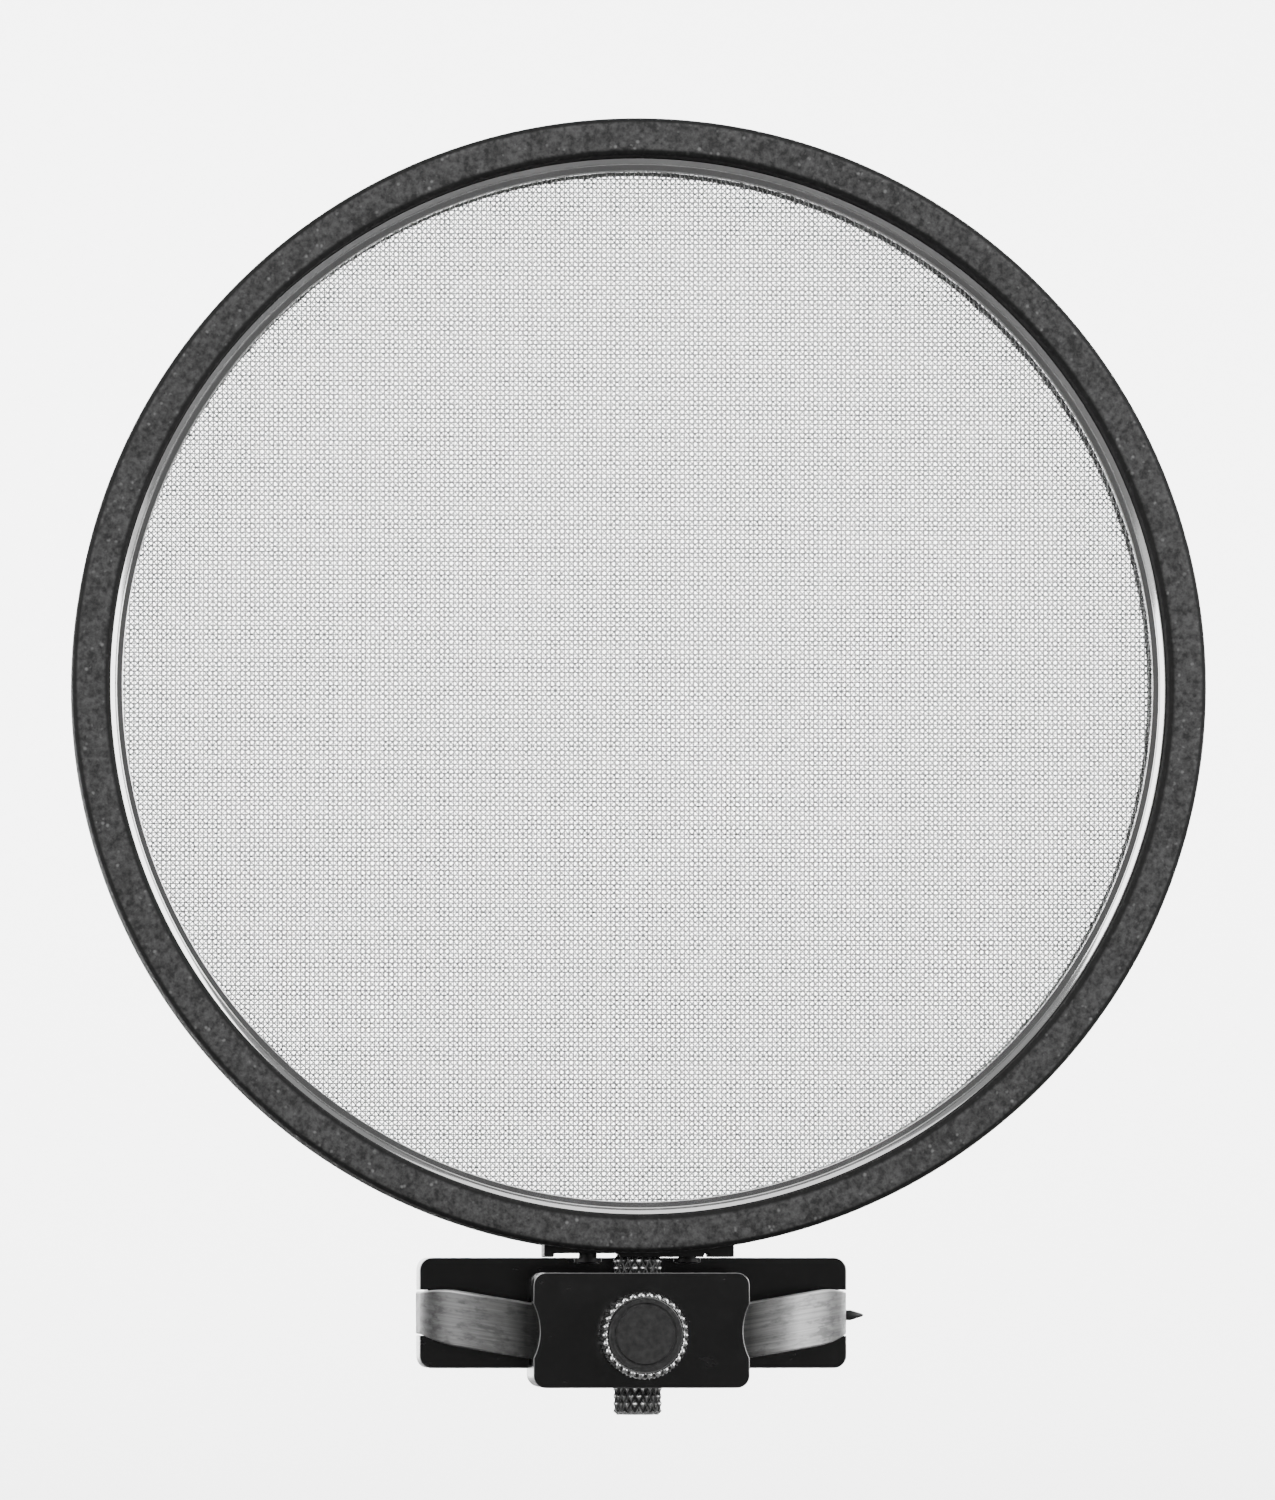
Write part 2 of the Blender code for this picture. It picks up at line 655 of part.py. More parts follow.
def thumb_face(mat):
    """The dark disc in the head's front, with a shallow ring groove."""
    front = -KNOB_FRONT - 0.1 * MM
    back = -KNOB_FRONT - 1.1 * MM + GAP
    outer = KNOB_FACE_R - GAP
    profile = [
        (0, front),
        (2.5 * MM, front),
        (2.6 * MM, front - 0.12 * MM),
        (2.75 * MM, front - 0.12 * MM),
        (2.82 * MM, front),
        (outer - 0.1 * MM, front),
        (outer, front - 0.1 * MM),
        (outer, back),
        (0, back),
    ]
    return turned("thumb_face", profile, mat, screw_origin(), axis="Y", steps=60)


def thumb_shaft(mat):
    front = -KNOB_FRONT - 1.1 * MM - GAP + 0.2 * MM
    back = 18.9 * MM
    profile = [
        (0, front),
        (SHAFT_R, front),
        (SHAFT_R, back + GAP),
        (SHAFT_R - GAP, back),
        (0, back),
    ]
    return turned("thumb_shaft", profile, mat, screw_origin(), axis="Y", steps=32)


def pinch_shoe(mat):
    """The pad at the screw's tip, which presses the bush and doesn't turn."""
    front = 18.6 * MM
    back = 17.5 * MM
    profile = [(0, front), (SHAFT_R, front), (SHAFT_R, back), (0, back)]
    return turned("pinch_shoe", profile, mat, screw_origin(), axis="Y", steps=32)


def main():
    clear_scene()
    rubber = material("rim_rubber", (0.075, 0.075, 0.075), 0.75)
    soft = material("pad_rubber", (0.03, 0.03, 0.03), 0.8)
    steel = material("polished_steel", (0.75, 0.75, 0.75), 0.15, 1.0)
    wire = material("wire_mesh", (0.6, 0.6, 0.6), 0.35, 1.0)
    nickel = material("knurled_nickel", (0.72, 0.72, 0.72), 0.25, 1.0)
    black = material("black_plastic", (0.015, 0.015, 0.015), 0.45)
    dark = material("black_steel", (0.02, 0.02, 0.02), 0.5, 0.6)
    brushed = material("brushed_strap", (0.45, 0.45, 0.45), 0.4, 1.0)
    brass = material("brass", (0.7, 0.5, 0.2), 0.3, 1.0)
    nylon = material("nylon", (0.05, 0.05, 0.05), 0.55)
    face = material("knob_face", (0.05, 0.05, 0.05), 0.5)

    rim_trim(rubber)
    screen_stack(steel, wire)
    hoop_foot(dark)
    foot_screws(dark)
    knurled_post(nickel)

    saddle_plate(black)
    saddle_pads(soft)
    clamp_block(black)
    block_screws(steel)
    strap_pins(steel)
    band("strap", strap_path(), strap_section, STRAP_THICK, brushed)
    strap_liner(soft)
    strap_hook(dark)
    post_bush(nylon)

    thumb_insert(brass)
    thumb_washer(nylon)
    thumb_head(nickel)
    thumb_face(face)
    thumb_shaft(steel)
    pinch_shoe(brass)


main()
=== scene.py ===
"""The looks of the clamp-on pop filter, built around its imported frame.

Metres, +Z up, -Y towards the voice. The main places and sizes come from the CAD nodes' boxes.
"""
import math

import bmesh
import bpy
import numpy as np
from mathutils import Matrix, Vector


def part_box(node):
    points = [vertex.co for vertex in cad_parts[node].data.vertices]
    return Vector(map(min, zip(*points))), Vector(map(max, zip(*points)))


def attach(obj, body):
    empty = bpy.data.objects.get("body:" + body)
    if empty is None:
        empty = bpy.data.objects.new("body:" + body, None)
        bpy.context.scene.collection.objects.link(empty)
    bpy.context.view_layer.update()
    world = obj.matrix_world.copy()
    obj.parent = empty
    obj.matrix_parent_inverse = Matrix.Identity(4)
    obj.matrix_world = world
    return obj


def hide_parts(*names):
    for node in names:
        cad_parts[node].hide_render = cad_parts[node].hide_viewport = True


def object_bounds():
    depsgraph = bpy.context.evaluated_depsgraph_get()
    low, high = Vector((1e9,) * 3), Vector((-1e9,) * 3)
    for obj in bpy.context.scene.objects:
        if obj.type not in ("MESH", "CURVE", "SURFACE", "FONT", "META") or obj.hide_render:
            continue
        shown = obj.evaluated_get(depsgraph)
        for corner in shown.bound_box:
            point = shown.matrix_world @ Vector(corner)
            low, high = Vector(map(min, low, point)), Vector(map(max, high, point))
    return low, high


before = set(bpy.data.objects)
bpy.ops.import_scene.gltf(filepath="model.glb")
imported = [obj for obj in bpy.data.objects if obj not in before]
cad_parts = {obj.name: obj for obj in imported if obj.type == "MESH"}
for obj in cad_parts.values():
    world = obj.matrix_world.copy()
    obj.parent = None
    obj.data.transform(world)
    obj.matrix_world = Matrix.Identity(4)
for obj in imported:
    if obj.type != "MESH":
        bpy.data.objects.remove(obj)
CAD_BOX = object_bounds()

MM = 0.001
TAU = 2 * math.pi


# --- what the frame says ---

def middle(node):
    low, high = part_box(node)
    return (low + high) / 2


def half_width(node):
    low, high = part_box(node)
    return (high.x - low.x) / 2


TRIM_LOW, TRIM_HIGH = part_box("rim_trim")
RING = middle("rim_trim")
RIM_R = half_width("rim_trim")
RIM_HALF = (TRIM_HIGH.y - TRIM_LOW.y) / 2
HOOP_LOW, HOOP_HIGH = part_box("front_hoop")
HOOP_R = half_width("front_hoop")
HOOP_FRONT = RING.y - HOOP_LOW.y
HOOP_BACK = RING.y - HOOP_HIGH.y
POST_LOW, POST_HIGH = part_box("knurled_post")
POST = middle("knurled_post")
POST_R = half_width("knurled_post")
PLATE_LOW, PLATE_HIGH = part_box("saddle_plate")
BLOCK_LOW, BLOCK_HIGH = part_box("clamp_block")
KNOB_LOW, KNOB_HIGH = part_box("thumb_head")
KNOB = middle("thumb_head")
KNOB_R = half_width("thumb_head")
NECK_R = 10.0 * MM
LIP_OUTER_R = 45.73 * MM
LEDGE_R = 44.57 * MM


# --- materials ---

def map_range(tree, value, from_low, from_high, to_low=0.0, to_high=1.0, curve="LINEAR"):
    """A value's range laid on another, and held at its ends."""
    node = tree.nodes.new("ShaderNodeMapRange")
    node.interpolation_type = curve
    tree.links.new(value, node.inputs["Value"])
    levels = (from_low, from_high, to_low, to_high)
    for name, level in zip(("From Min", "From Max", "To Min", "To Max"), levels):
        node.inputs[name].default_value = level
    return node.outputs["Result"]


class Tree:
    """A material's node tree, with short ways to add the nodes used here."""

    def __init__(self, name):
        self.material = bpy.data.materials.new(name)
        self.material.use_nodes = True
        self.tree = self.material.node_tree
        self.shader = self.tree.nodes["Principled BSDF"]
        self.place = self.add("ShaderNodeTexCoord").outputs["Object"]

    def add(self, kind, settings=None, **inputs):
        node = self.tree.nodes.new(kind)
        for name, value in (settings or {}).items():
            setattr(node, name, value)
        return self.feed_all(node, inputs)

    def feed(self, socket, value):
        if isinstance(value, bpy.types.NodeSocket):
            self.tree.links.new(value, socket)
        else:
            socket.default_value = value

    def feed_all(self, node, inputs):
        """Feed a node's inputs by name, with _ for the spaces in a name."""
        for name, value in inputs.items():
            self.feed(node.inputs[name.replace("_", " ")], value)
        return node

    def finish(self, **inputs):
        """Feed the shader, and give the material."""
        self.feed_all(self.shader, inputs)
        return self.material

    def operate(self, kind, operation, *values):
        node = self.add(kind, {"operation": operation})
        for socket, value in zip(node.inputs, values):
            self.feed(socket, value)
        return node

    def times(self, first, second):
        return self.operate("ShaderNodeMath", "MULTIPLY", first, second).outputs[0]

    def plus(self, first, second):
        return self.operate("ShaderNodeMath", "ADD", first, second).outputs[0]

    def larger(self, first, second):
        return self.operate("ShaderNodeMath", "MAXIMUM", first, second).outputs[0]

    def noise(self, size, detail=3.0, rough=0.55, place=None, stretch=None):
        """Noise whose features are about size metres across."""
        place = self.place if place is None else place
        if stretch is not None:
            place = self.add("ShaderNodeMapping", Vector=place, Scale=stretch).outputs[0]
        node = self.add("ShaderNodeTexNoise", Vector=place, Scale=1.0 / size, Detail=detail,
                        Roughness=rough)
        return node.outputs["Fac"]

    def spots(self, size):
        """Distance to the nearest of many scattered points, in cell widths."""
        node = self.add("ShaderNodeTexVoronoi", Vector=self.place, Scale=1.0 / size)
        return node.outputs["Distance"]

    def scale(self, value, *levels):
        return map_range(self.tree, value, *levels)

    def split(self, vector):
        return self.add("ShaderNodeSeparateXYZ", Vector=vector).outputs

    def radius(self, centre):
        """Distance from a line along Y through the centre."""
        away = self.operate("ShaderNodeVectorMath", "SUBTRACT", self.place, tuple(centre)).outputs[0]
        flat = self.operate("ShaderNodeVectorMath", "MULTIPLY", away, (1.0, 0.0, 1.0)).outputs[0]
        return self.operate("ShaderNodeVectorMath", "LENGTH", flat).outputs["Value"]

    def mix(self, factor, first, second):
        """Two greys or colours mixed by factor."""
        node = self.add("ShaderNodeMix", {"data_type": "RGBA"})
        self.feed(node.inputs[0], factor)
        for socket, value in ((node.inputs[6], first), (node.inputs[7], second)):
            if isinstance(value, (int, float)):
                value = (value, value, value, 1.0)
            self.feed(socket, value)
        return node.outputs[2]

    def bump(self, height, depth, strength=1.0, under=None):
        node = self.add("ShaderNodeBump", Height=height, Distance=depth, Strength=strength)
        if under is not None:
            self.feed(node.inputs["Normal"], under)
        return node.outputs["Normal"]

    def attribute(self, name):
        return self.add("ShaderNodeAttribute", {"attribute_type": "GEOMETRY", "attribute_name": name})


def rim_rubber():
    """Dark grey moulded rubber, mottled at half a millimetre, with pale specks; painted shade darkens
    its inner and outer edges.
    """
    t = Tree("rim_rubber")
    broad = t.noise(1.6 * MM, 3.0, 0.6)
    fine = t.noise(0.42 * MM, 3.0, 0.6)
    mottle = t.plus(t.times(broad, 0.3), t.times(fine, 0.7))
    grey = t.mix(t.scale(mottle, 0.38, 0.64), 0.040, 0.130)
    specks = t.scale(t.spots(0.66 * MM), 0.10, 0.32, 1.0, 0.0)
    some = t.scale(t.noise(0.9 * MM, 2.0), 0.52, 0.62, 0.0, 0.8)
    speckled = t.mix(t.times(specks, some), grey, 0.28)
    # painted shade: darker bands at the inner edge and round the outer rim, where the rubber's walls
    # fall into shade
    radius = t.radius(RING)
    inside = t.scale(radius, LIP_OUTER_R + 0.34 * MM, LIP_OUTER_R + 0.56 * MM, 1.0, 0.0)
    near_edge = t.scale(radius, RIM_R - 0.52 * MM, RIM_R - 0.34 * MM)
    at_edge = t.scale(radius, RIM_R - 0.12 * MM, RIM_R - 0.03 * MM, 1.0, 0.0)
    # dark is the painted shade of both edges
    dark = t.larger(inside, t.times(near_edge, at_edge))
    grain = t.bump(fine, 0.10 * MM, 0.8)
    return t.finish(
        Base_Color=t.mix(t.times(dark, 0.85), speckled, 0.010),
        Roughness=t.scale(fine, 0.3, 0.7, 0.66, 0.88),
        Specular_IOR_Level=0.22,
        Normal=t.bump(t.noise(0.2 * MM, 2.0), 0.035 * MM, 0.6, grain),
    )


def polished(name, tone, rough):
    """Bright plated metal with faint polishing haze and hairlines."""
    t = Tree(name)
    haze = t.noise(6 * MM, 4.0, 0.6)
    hair = t.noise(0.12 * MM, 2.0, 0.5, stretch=(1.0, 6.0, 1.0))
    return t.finish(
        Base_Color=t.mix(t.scale(haze, 0.35, 0.65), tone * 0.9, tone),
        Metallic=1.0,
        Roughness=t.scale(haze, 0.3, 0.7, *rough),
        Normal=t.bump(hair, 0.004 * MM, 0.35),
    )


def knurled(name):
    """Nickel plate over cut diamonds, bright on the points; painted shade darkens the grooves, which are
    also rougher.
    """
    t = Tree(name)
    groove = t.attribute("groove").outputs["Fac"]
    groove_shade_spread = t.noise(0.8 * MM, 3.0, 0.6)
    # painted shade: the grooves and the dips between teeth darkened nearly to black, by an amount that
    # varies at random
    groove_shade = t.times(groove, t.scale(groove_shade_spread, 0.3, 0.7, 0.7, 1.0))
    shade = t.scale(groove_shade, 0.15, 0.6)
    return t.finish(
        Base_Color=t.mix(shade, 0.88, 0.075),
        Metallic=1.0,
        Roughness=t.scale(shade, 0.0, 1.0, 0.14, 0.42),
        Normal=t.bump(t.noise(0.16 * MM, 2.0), 0.006 * MM, 0.4),
    )


def wire_metal():
    """Drawn stainless wire, a little brighter here and there."""
    t = Tree("wire_mesh")
    tone = t.noise(3.5 * MM, 3.0, 0.6)
    return t.finish(
        Base_Color=t.mix(t.scale(tone, 0.35, 0.65), 0.36, 0.46),
        Metallic=1.0,
        Roughness=t.scale(tone, 0.3, 0.7, 0.30, 0.42),
    )


def black_plastic(name, low, high, left, right, top):
    """Satin black moulding with a faint spark-eroded texture and handling marks.

    The rounded edges round its front face carry a painted highlight, a bright metal-like band, by these
    shares on each side.
    """
    t = Tree(name)
    fine = t.noise(0.16 * MM, 3.0, 0.6)
    patch = t.noise(4.5 * MM, 4.0, 0.6)
    rub = t.scale(t.noise(1.6 * MM, 5.0, 0.62, stretch=(0.5, 1.0, 1.0)), 0.55, 0.80)
    black = t.mix(rub, t.mix(patch, 0.0045, 0.0075), 0.014)
    x, y, z = t.split(t.place)
    # painted highlight: a bright metal-like band on the rounded front edges, stronger on the sides given
    # by left, right and top
    starts = t.scale(y, low.y + 0.012 * MM, low.y + 0.05 * MM)
    ends = t.scale(y, low.y + 0.34 * MM, low.y + 0.48 * MM, 1.0, 0.0)
    sides = t.scale(x, 0.9 * low.x, 0.9 * high.x, left, right)
    above = t.scale(z, high.z - 1.0 * MM, high.z - 0.4 * MM, 0.0, top)
    bright = t.times(t.times(starts, ends), t.larger(sides, above))
    return t.finish(
        Base_Color=t.mix(bright, black, 0.75),
        Metallic=bright,
        Roughness=t.plus(t.scale(patch, 0.3, 0.7, 0.18, 0.26), t.times(rub, 0.12)),
        Specular_IOR_Level=0.85,
        Normal=t.bump(fine, 0.004 * MM, 0.4),
    )


def soft_rubber():
    t = Tree("pad_rubber")
    fine = t.noise(0.3 * MM, 4.0, 0.6)
    dust = t.scale(t.noise(1.5 * MM, 5.0, 0.7), 0.55, 0.75, 0.0, 0.6)
    return t.finish(
        Base_Color=t.mix(dust, 0.016, 0.055),
        Roughness=t.scale(fine, 0.3, 0.7, 0.68, 0.9),
        Normal=t.bump(fine, 0.04 * MM, 0.6),
    )


def brushed_strap():
    """Spring steel brushed along its length; lay holds the distances along and across.

    Painted shade darkens it on the left, beside the block and towards its right end; painted light
    brightens its right half, and a painted highlight runs along its upper edge.
    """
    t = Tree("strap_steel")
    lay = t.attribute("lay").outputs["Vector"]
    streak = t.noise(1.0 * MM, 4.0, 0.6, place=lay, stretch=(0.10, 4.5, 0.0))
    broad = t.noise(1.0 * MM, 4.0, 0.65, place=lay, stretch=(0.45, 1.1, 0.0))
    hair = t.noise(1.0 * MM, 2.0, 0.5, place=lay, stretch=(0.25, 16.0, 0.0))
    blotch = t.scale(broad, 0.50, 0.62, 0.0, 0.7)
    tone = t.mix(blotch, t.mix(t.scale(streak, 0.35, 0.65), 0.42, 0.66), 0.30)
    x = t.split(t.place)["X"]
    # painted shade on the left part, painted light on the right half
    left = t.scale(x, -14.5 * MM, -12.5 * MM, 0.30, 0.75)
    side = t.plus(left, t.scale(x, -1.0 * MM, 1.0 * MM, 0.0, 0.25))
    away = t.operate("ShaderNodeMath", "ABSOLUTE", x).outputs[0]
    # painted shade beside the block, where the strap goes into the slots
    painted_slot_shade = t.scale(away, 9.7 * MM, 11.4 * MM, 0.35, 1.0)
    # painted shade towards the right end
    ends = t.scale(x, 14.0 * MM, 15.4 * MM, 1.0, 0.70)
    painted_strap_shade = t.times(t.times(side, painted_slot_shade), ends)
    # painted highlight along the upper edge
    painted_edge_highlight = t.scale(t.split(lay)["Z"], 0.90 * MM, 0.95 * MM)
    return t.finish(
        Base_Color=t.mix(painted_edge_highlight, t.mix(painted_strap_shade, 0.0, tone), 0.58),
        Metallic=1.0,
        Roughness=t.plus(t.scale(streak, 0.3, 0.7, 0.44, 0.54), t.times(blotch, 0.10)),
        Anisotropic=0.4,
        Tangent=t.add("ShaderNodeCombineXYZ", Z=1.0).outputs[0],
        Normal=t.bump(hair, 0.010 * MM, 0.6),
    )


def black_steel():
    t = Tree("black_steel")
    fine = t.noise(0.35 * MM, 4.0, 0.65)
    chips = t.scale(t.noise(1.3 * MM, 5.0, 0.75), 0.68, 0.73)
    return t.finish(
        Base_Color=t.mix(chips, t.mix(fine, 0.008, 0.02), 0.22),
        Metallic=t.times(chips, 0.8),
        Roughness=t.scale(fine, 0.3, 0.7, 0.36, 0.56),
        Normal=t.bump(fine, 0.03 * MM, 0.5),
    )


def nylon():
    t = Tree("black_nylon")
    fine = t.noise(0.5 * MM, 4.0, 0.6)
    return t.finish(
        Base_Color=t.mix(fine, 0.012, 0.026),
        Roughness=t.scale(fine, 0.3, 0.7, 0.42, 0.58),
        Normal=t.bump(fine, 0.015 * MM, 0.4),
    )


def turned_brass():
    t = Tree("brass")
    tool = t.noise(0.14 * MM, 2.0, 0.5, stretch=(1.0, 8.0, 1.0))
    tarnish = t.scale(t.noise(1.4 * MM, 4.0, 0.65), 0.4, 0.7, 0.0, 0.7)
    return t.finish(
        Base_Color=t.mix(tarnish, (0.74, 0.52, 0.22, 1), (0.42, 0.27, 0.10, 1)),
        Metallic=1.0,
        Roughness=t.scale(tarnish, 0.0, 0.7, 0.24, 0.45),
        Normal=t.bump(tool, 0.006 * MM, 0.6),
    )


def knob_disc():
    """The knob's dark face, spun in fine rings about the screw's axis."""
    t = Tree("knob_face")
    ring_place = t.add("ShaderNodeCombineXYZ", X=t.radius(KNOB)).outputs[0]
    rings = t.noise(0.12 * MM, 2.0, 0.5, place=ring_place)
    mottle = t.noise(0.6 * MM, 4.0, 0.6)
    return t.finish(
        Base_Color=t.mix(t.scale(mottle, 0.3, 0.7), 0.030, 0.068),
        Metallic=0.25,
        Roughness=t.scale(rings, 0.3, 0.7, 0.40, 0.58),
        Normal=t.bump(rings, 0.012 * MM, 0.6),
    )


def matt(name, grain, detail, dark, pale):
    """Matt paper or board with a faint grain."""
    t = Tree(name)
    colour = t.mix(t.noise(grain, detail, 0.6), dark, pale)
    return t.finish(Base_Color=colour, Roughness=0.9, Specular_IOR_Level=0.1)


# --- mesh building ---

def linked(name, data):
    obj = bpy.data.objects.new(name, data)
    bpy.context.scene.collection.objects.link(obj)
    return obj


def object_from(bm, name):
    bmesh.ops.recalc_face_normals(bm, faces=bm.faces)
    mesh = bpy.data.meshes.new(name)
    bm.to_mesh(mesh)
    bm.free()
    return linked(name, mesh)


def solid(name, verts, faces):
    bm = bmesh.new()
    made = [bm.verts.new(v) for v in verts]
    for face in faces:
        bm.faces.new([made[i] for i in face])
    return object_from(bm, name)


def piece(name, verts, faces, material, body, nodes, smooth=35.0):
    """A mesh object that stands for CAD nodes, rides on a body and takes the material given."""
    return finish_piece(solid(name, verts, faces), material, body, nodes, smooth)


def finish_piece(obj, material, body, nodes, smooth=35.0):
    """Give a piece its finish and its place in the frame; flat faces keep flat shading."""
    obj.data.materials.clear()
    obj.data.materials.append(material)
    obj.data.shade_smooth()
    obj.data.set_sharp_from_angle(angle=math.radians(smooth))
    weighted = obj.modifiers.new("flat_faces", "WEIGHTED_NORMAL")
    weighted.keep_sharp = True
    bake_modifiers(obj)
    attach(obj, body)
    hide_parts(*nodes)
    return obj


def add_row(verts, points):
    """Add a ring of points to verts, and give their numbers."""
    start = len(verts)
    verts.extend(points)
    return list(range(start, len(verts)))


def skin(rows, closed=False):
    """The faces between rings of vertex numbers; a ring of one is a pole."""
    pairs = list(zip(rows, rows[1:]))
    if closed:
        pairs.append((rows[-1], rows[0]))
    faces = []
    for upper, lower in pairs:
        steps = max(len(upper), len(lower))
        for i in range(steps):
            j = (i + 1) % steps
            if len(upper) == 1:
                faces.append((upper[0], lower[i], lower[j]))
            elif len(lower) == 1:
                faces.append((upper[i], lower[0], upper[j]))
            else:
                faces.append((upper[i], lower[i], lower[j], upper[j]))
    return faces


def caps(rows):
    return [tuple(reversed(rows[0])), tuple(rows[-1])]


def lathe_mesh(profile, origin, axis, steps):
    """Vertices and faces of a turned (radius, height) profile; height runs along -Y or +Z."""
    closed = profile[0][0] > 0 and profile[-1][0] > 0
    verts = []
    rows = []
    for radius, height in profile:
        count = steps if radius > 0 else 1
        ring = [spun(radius, height, TAU * i / steps, origin, axis) for i in range(count)]
        rows.append(add_row(verts, ring))
    return verts, skin(rows, closed)


def spun(radius, height, angle, origin, axis):
    across = radius * math.cos(angle)
    other = radius * math.sin(angle)
    if axis == "Y":
        return (origin[0] + across, origin[1] - height, origin[2] + other)
    return (origin[0] + across, origin[1] + other, origin[2] + height)


def rounded(points, radius, steps, closed=True):
    """A profile with its corners rounded. radius is one number or one for each point."""
    result = []
    count = len(points)
    for i, point in enumerate(points):
        size = radius[i] if isinstance(radius, (list, tuple)) else radius
        here = Vector(point)
        if size <= 0 or (not closed and i in (0, count - 1)):
            result.append(tuple(here))
            continue
        before = Vector(points[i - 1]) - here
        after = Vector(points[(i + 1) % count]) - here
        reach = min(size, before.length * 0.49, after.length * 0.49)
        start = here + before.normalized() * reach
        end = here + after.normalized() * reach
        for k in range(steps + 1):
            f = k / steps
            result.append(tuple((1 - f) ** 2 * start + 2 * f * (1 - f) * here + f * f * end))
    return result


def turned(name, profile, origin, axis, steps, material, body, nodes):
    verts, faces = lathe_mesh(profile, origin, axis, steps)
    return piece(name, verts, faces, material, body, nodes)


def turned_like(name, node, axis, inner, edge, steps, material, body):
    """A turned ring, or a pin where inner is 0, as long and as wide as its node."""
    low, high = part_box(node)
    centre = middle(node)
    outer = half_width(node)
    if axis == "Y":
        start, end, origin = -low.y, -high.y, (centre.x, 0.0, centre.z)
    else:
        start, end, origin = high.z, low.z, (centre.x, centre.y, 0.0)
    if inner:
        corners = [(outer, start), (outer, end), (inner, end), (inner, start)]
    else:
        corners = [(0, start), (outer, start), (outer, end), (0, end)]
    profile = rounded(corners, edge, 3, bool(inner))
    return turned(name, profile, origin, axis, steps, material, body, [node])


def box_bmesh(low, high):
    bm = bmesh.new()
    bmesh.ops.create_cube(bm, size=1.0)
    bmesh.ops.scale(bm, vec=Vector(high) - Vector(low), verts=bm.verts)
    bmesh.ops.translate(bm, vec=(Vector(high) + Vector(low)) / 2, verts=bm.verts)
    return bm


def box_cutter(first, second):
    """A box between two opposite corners, given in any order."""
    corners = list(zip(first, second))
    bm = box_bmesh([min(pair) for pair in corners], [max(pair) for pair in corners])
    return object_from(bm, "cutter")


def cylinder(radius, start, end, steps=48):
    start = Vector(start)
    end = Vector(end)
    bm = bmesh.new()
    length = (end - start).length
    bmesh.ops.create_cone(bm, cap_ends=True, segments=steps, radius1=radius, radius2=radius,
                          depth=length)
    turn = Vector((0, 0, 1)).rotation_difference(end - start).to_matrix().to_4x4()
    bmesh.ops.transform(bm, matrix=Matrix.Translation((start + end) / 2) @ turn, verts=bm.verts)
    return object_from(bm, "cutter")


def carve(obj, cutters):
    """Cut the cutters out of an object for good, and remove them."""
    for cutter in cutters:
        mod = obj.modifiers.new("cut", "BOOLEAN")
        mod.operation = "DIFFERENCE"
        mod.solver = "EXACT"
        mod.object = cutter
    return bake_modifiers(obj, cutters)


def bake_modifiers(obj, extras=()):
    bpy.context.view_layer.update()
    shaped = obj.evaluated_get(bpy.context.evaluated_depsgraph_get())
    mesh = bpy.data.meshes.new_from_object(shaped)
    obj.modifiers.clear()
    old = obj.data
    obj.data = mesh
    bpy.data.meshes.remove(old)
    for extra in extras:
        extra_mesh = extra.data
        bpy.data.objects.remove(extra, do_unlink=True)
        bpy.data.meshes.remove(extra_mesh)
    return obj


def round_edges(obj, width, segments, angle):
    mod = obj.modifiers.new("round", "BEVEL")
    mod.width = width
    mod.segments = segments
    mod.limit_method = "ANGLE"
    mod.angle_limit = math.radians(angle)
    return bake_modifiers(obj)


def bevel_along(bm, axis, width, segments):
    edges = []
    for edge in bm.edges:
        run = (edge.verts[1].co - edge.verts[0].co).normalized()
        if abs(run[axis]) > 0.999:
            edges.append(edge)
    bmesh.ops.bevel(bm, geom=edges, offset=width, segments=segments, affect="EDGES", profile=0.5)


def extrude_outline(points, low, high, axis):
    """A prism on a flat outline: along Z from (x, y) points, or along Y from (x, z) points."""
    bm = bmesh.new()
    if axis == "Z":
        ring = [bm.verts.new((x, y, low)) for x, y in points]
        lift = (0, 0, high - low)
    else:
        ring = [bm.verts.new((x, low, z)) for x, z in points]
        lift = (0, high - low, 0)
    face = bm.faces.new(ring)
    made = bmesh.ops.extrude_face_region(bm, geom=[face])
    moved = [item for item in made["geom"] if isinstance(item, bmesh.types.BMVert)]
    bmesh.ops.translate(bm, vec=lift, verts=moved)
    return bm


# --- the screen ---

def build_trim(material):
    """The rubber channel: a flat face, softly rounded outside and turned in at its inner edge."""
    inner = LIP_OUTER_R
    floor = HOOP_R + 0.05 * MM
    groove = HOOP_FRONT + 0.04 * MM
    points = [(RIM_R, RIM_HALF), (RIM_R, -RIM_HALF), (inner, -RIM_HALF), (inner, -groove)]
    points += [(floor, -groove), (floor, groove), (inner, groove), (inner, RIM_HALF)]
    outer_round = 1.0 * MM
    inner_round = 0.75 * MM
    radii = [outer_round, outer_round, inner_round, 0.2 * MM, 0.0, 0.0, 0.2 * MM, inner_round]
    trim = solid("rim_rubber_trim", *lathe_mesh(rounded(points, radii, 6), RING, "Y", 256))
    foot_low, foot_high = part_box("hoop_foot")
    room = 0.12 * MM
    low = (foot_low.x - room, foot_low.y - room, TRIM_LOW.z - 2 * MM)
    high = (foot_high.x + room, foot_high.y + room, TRIM_LOW.z + 4 * MM)
    carve(trim, [box_cutter(low, high)])
    return finish_piece(trim, material, "screen", ["rim_trim"])


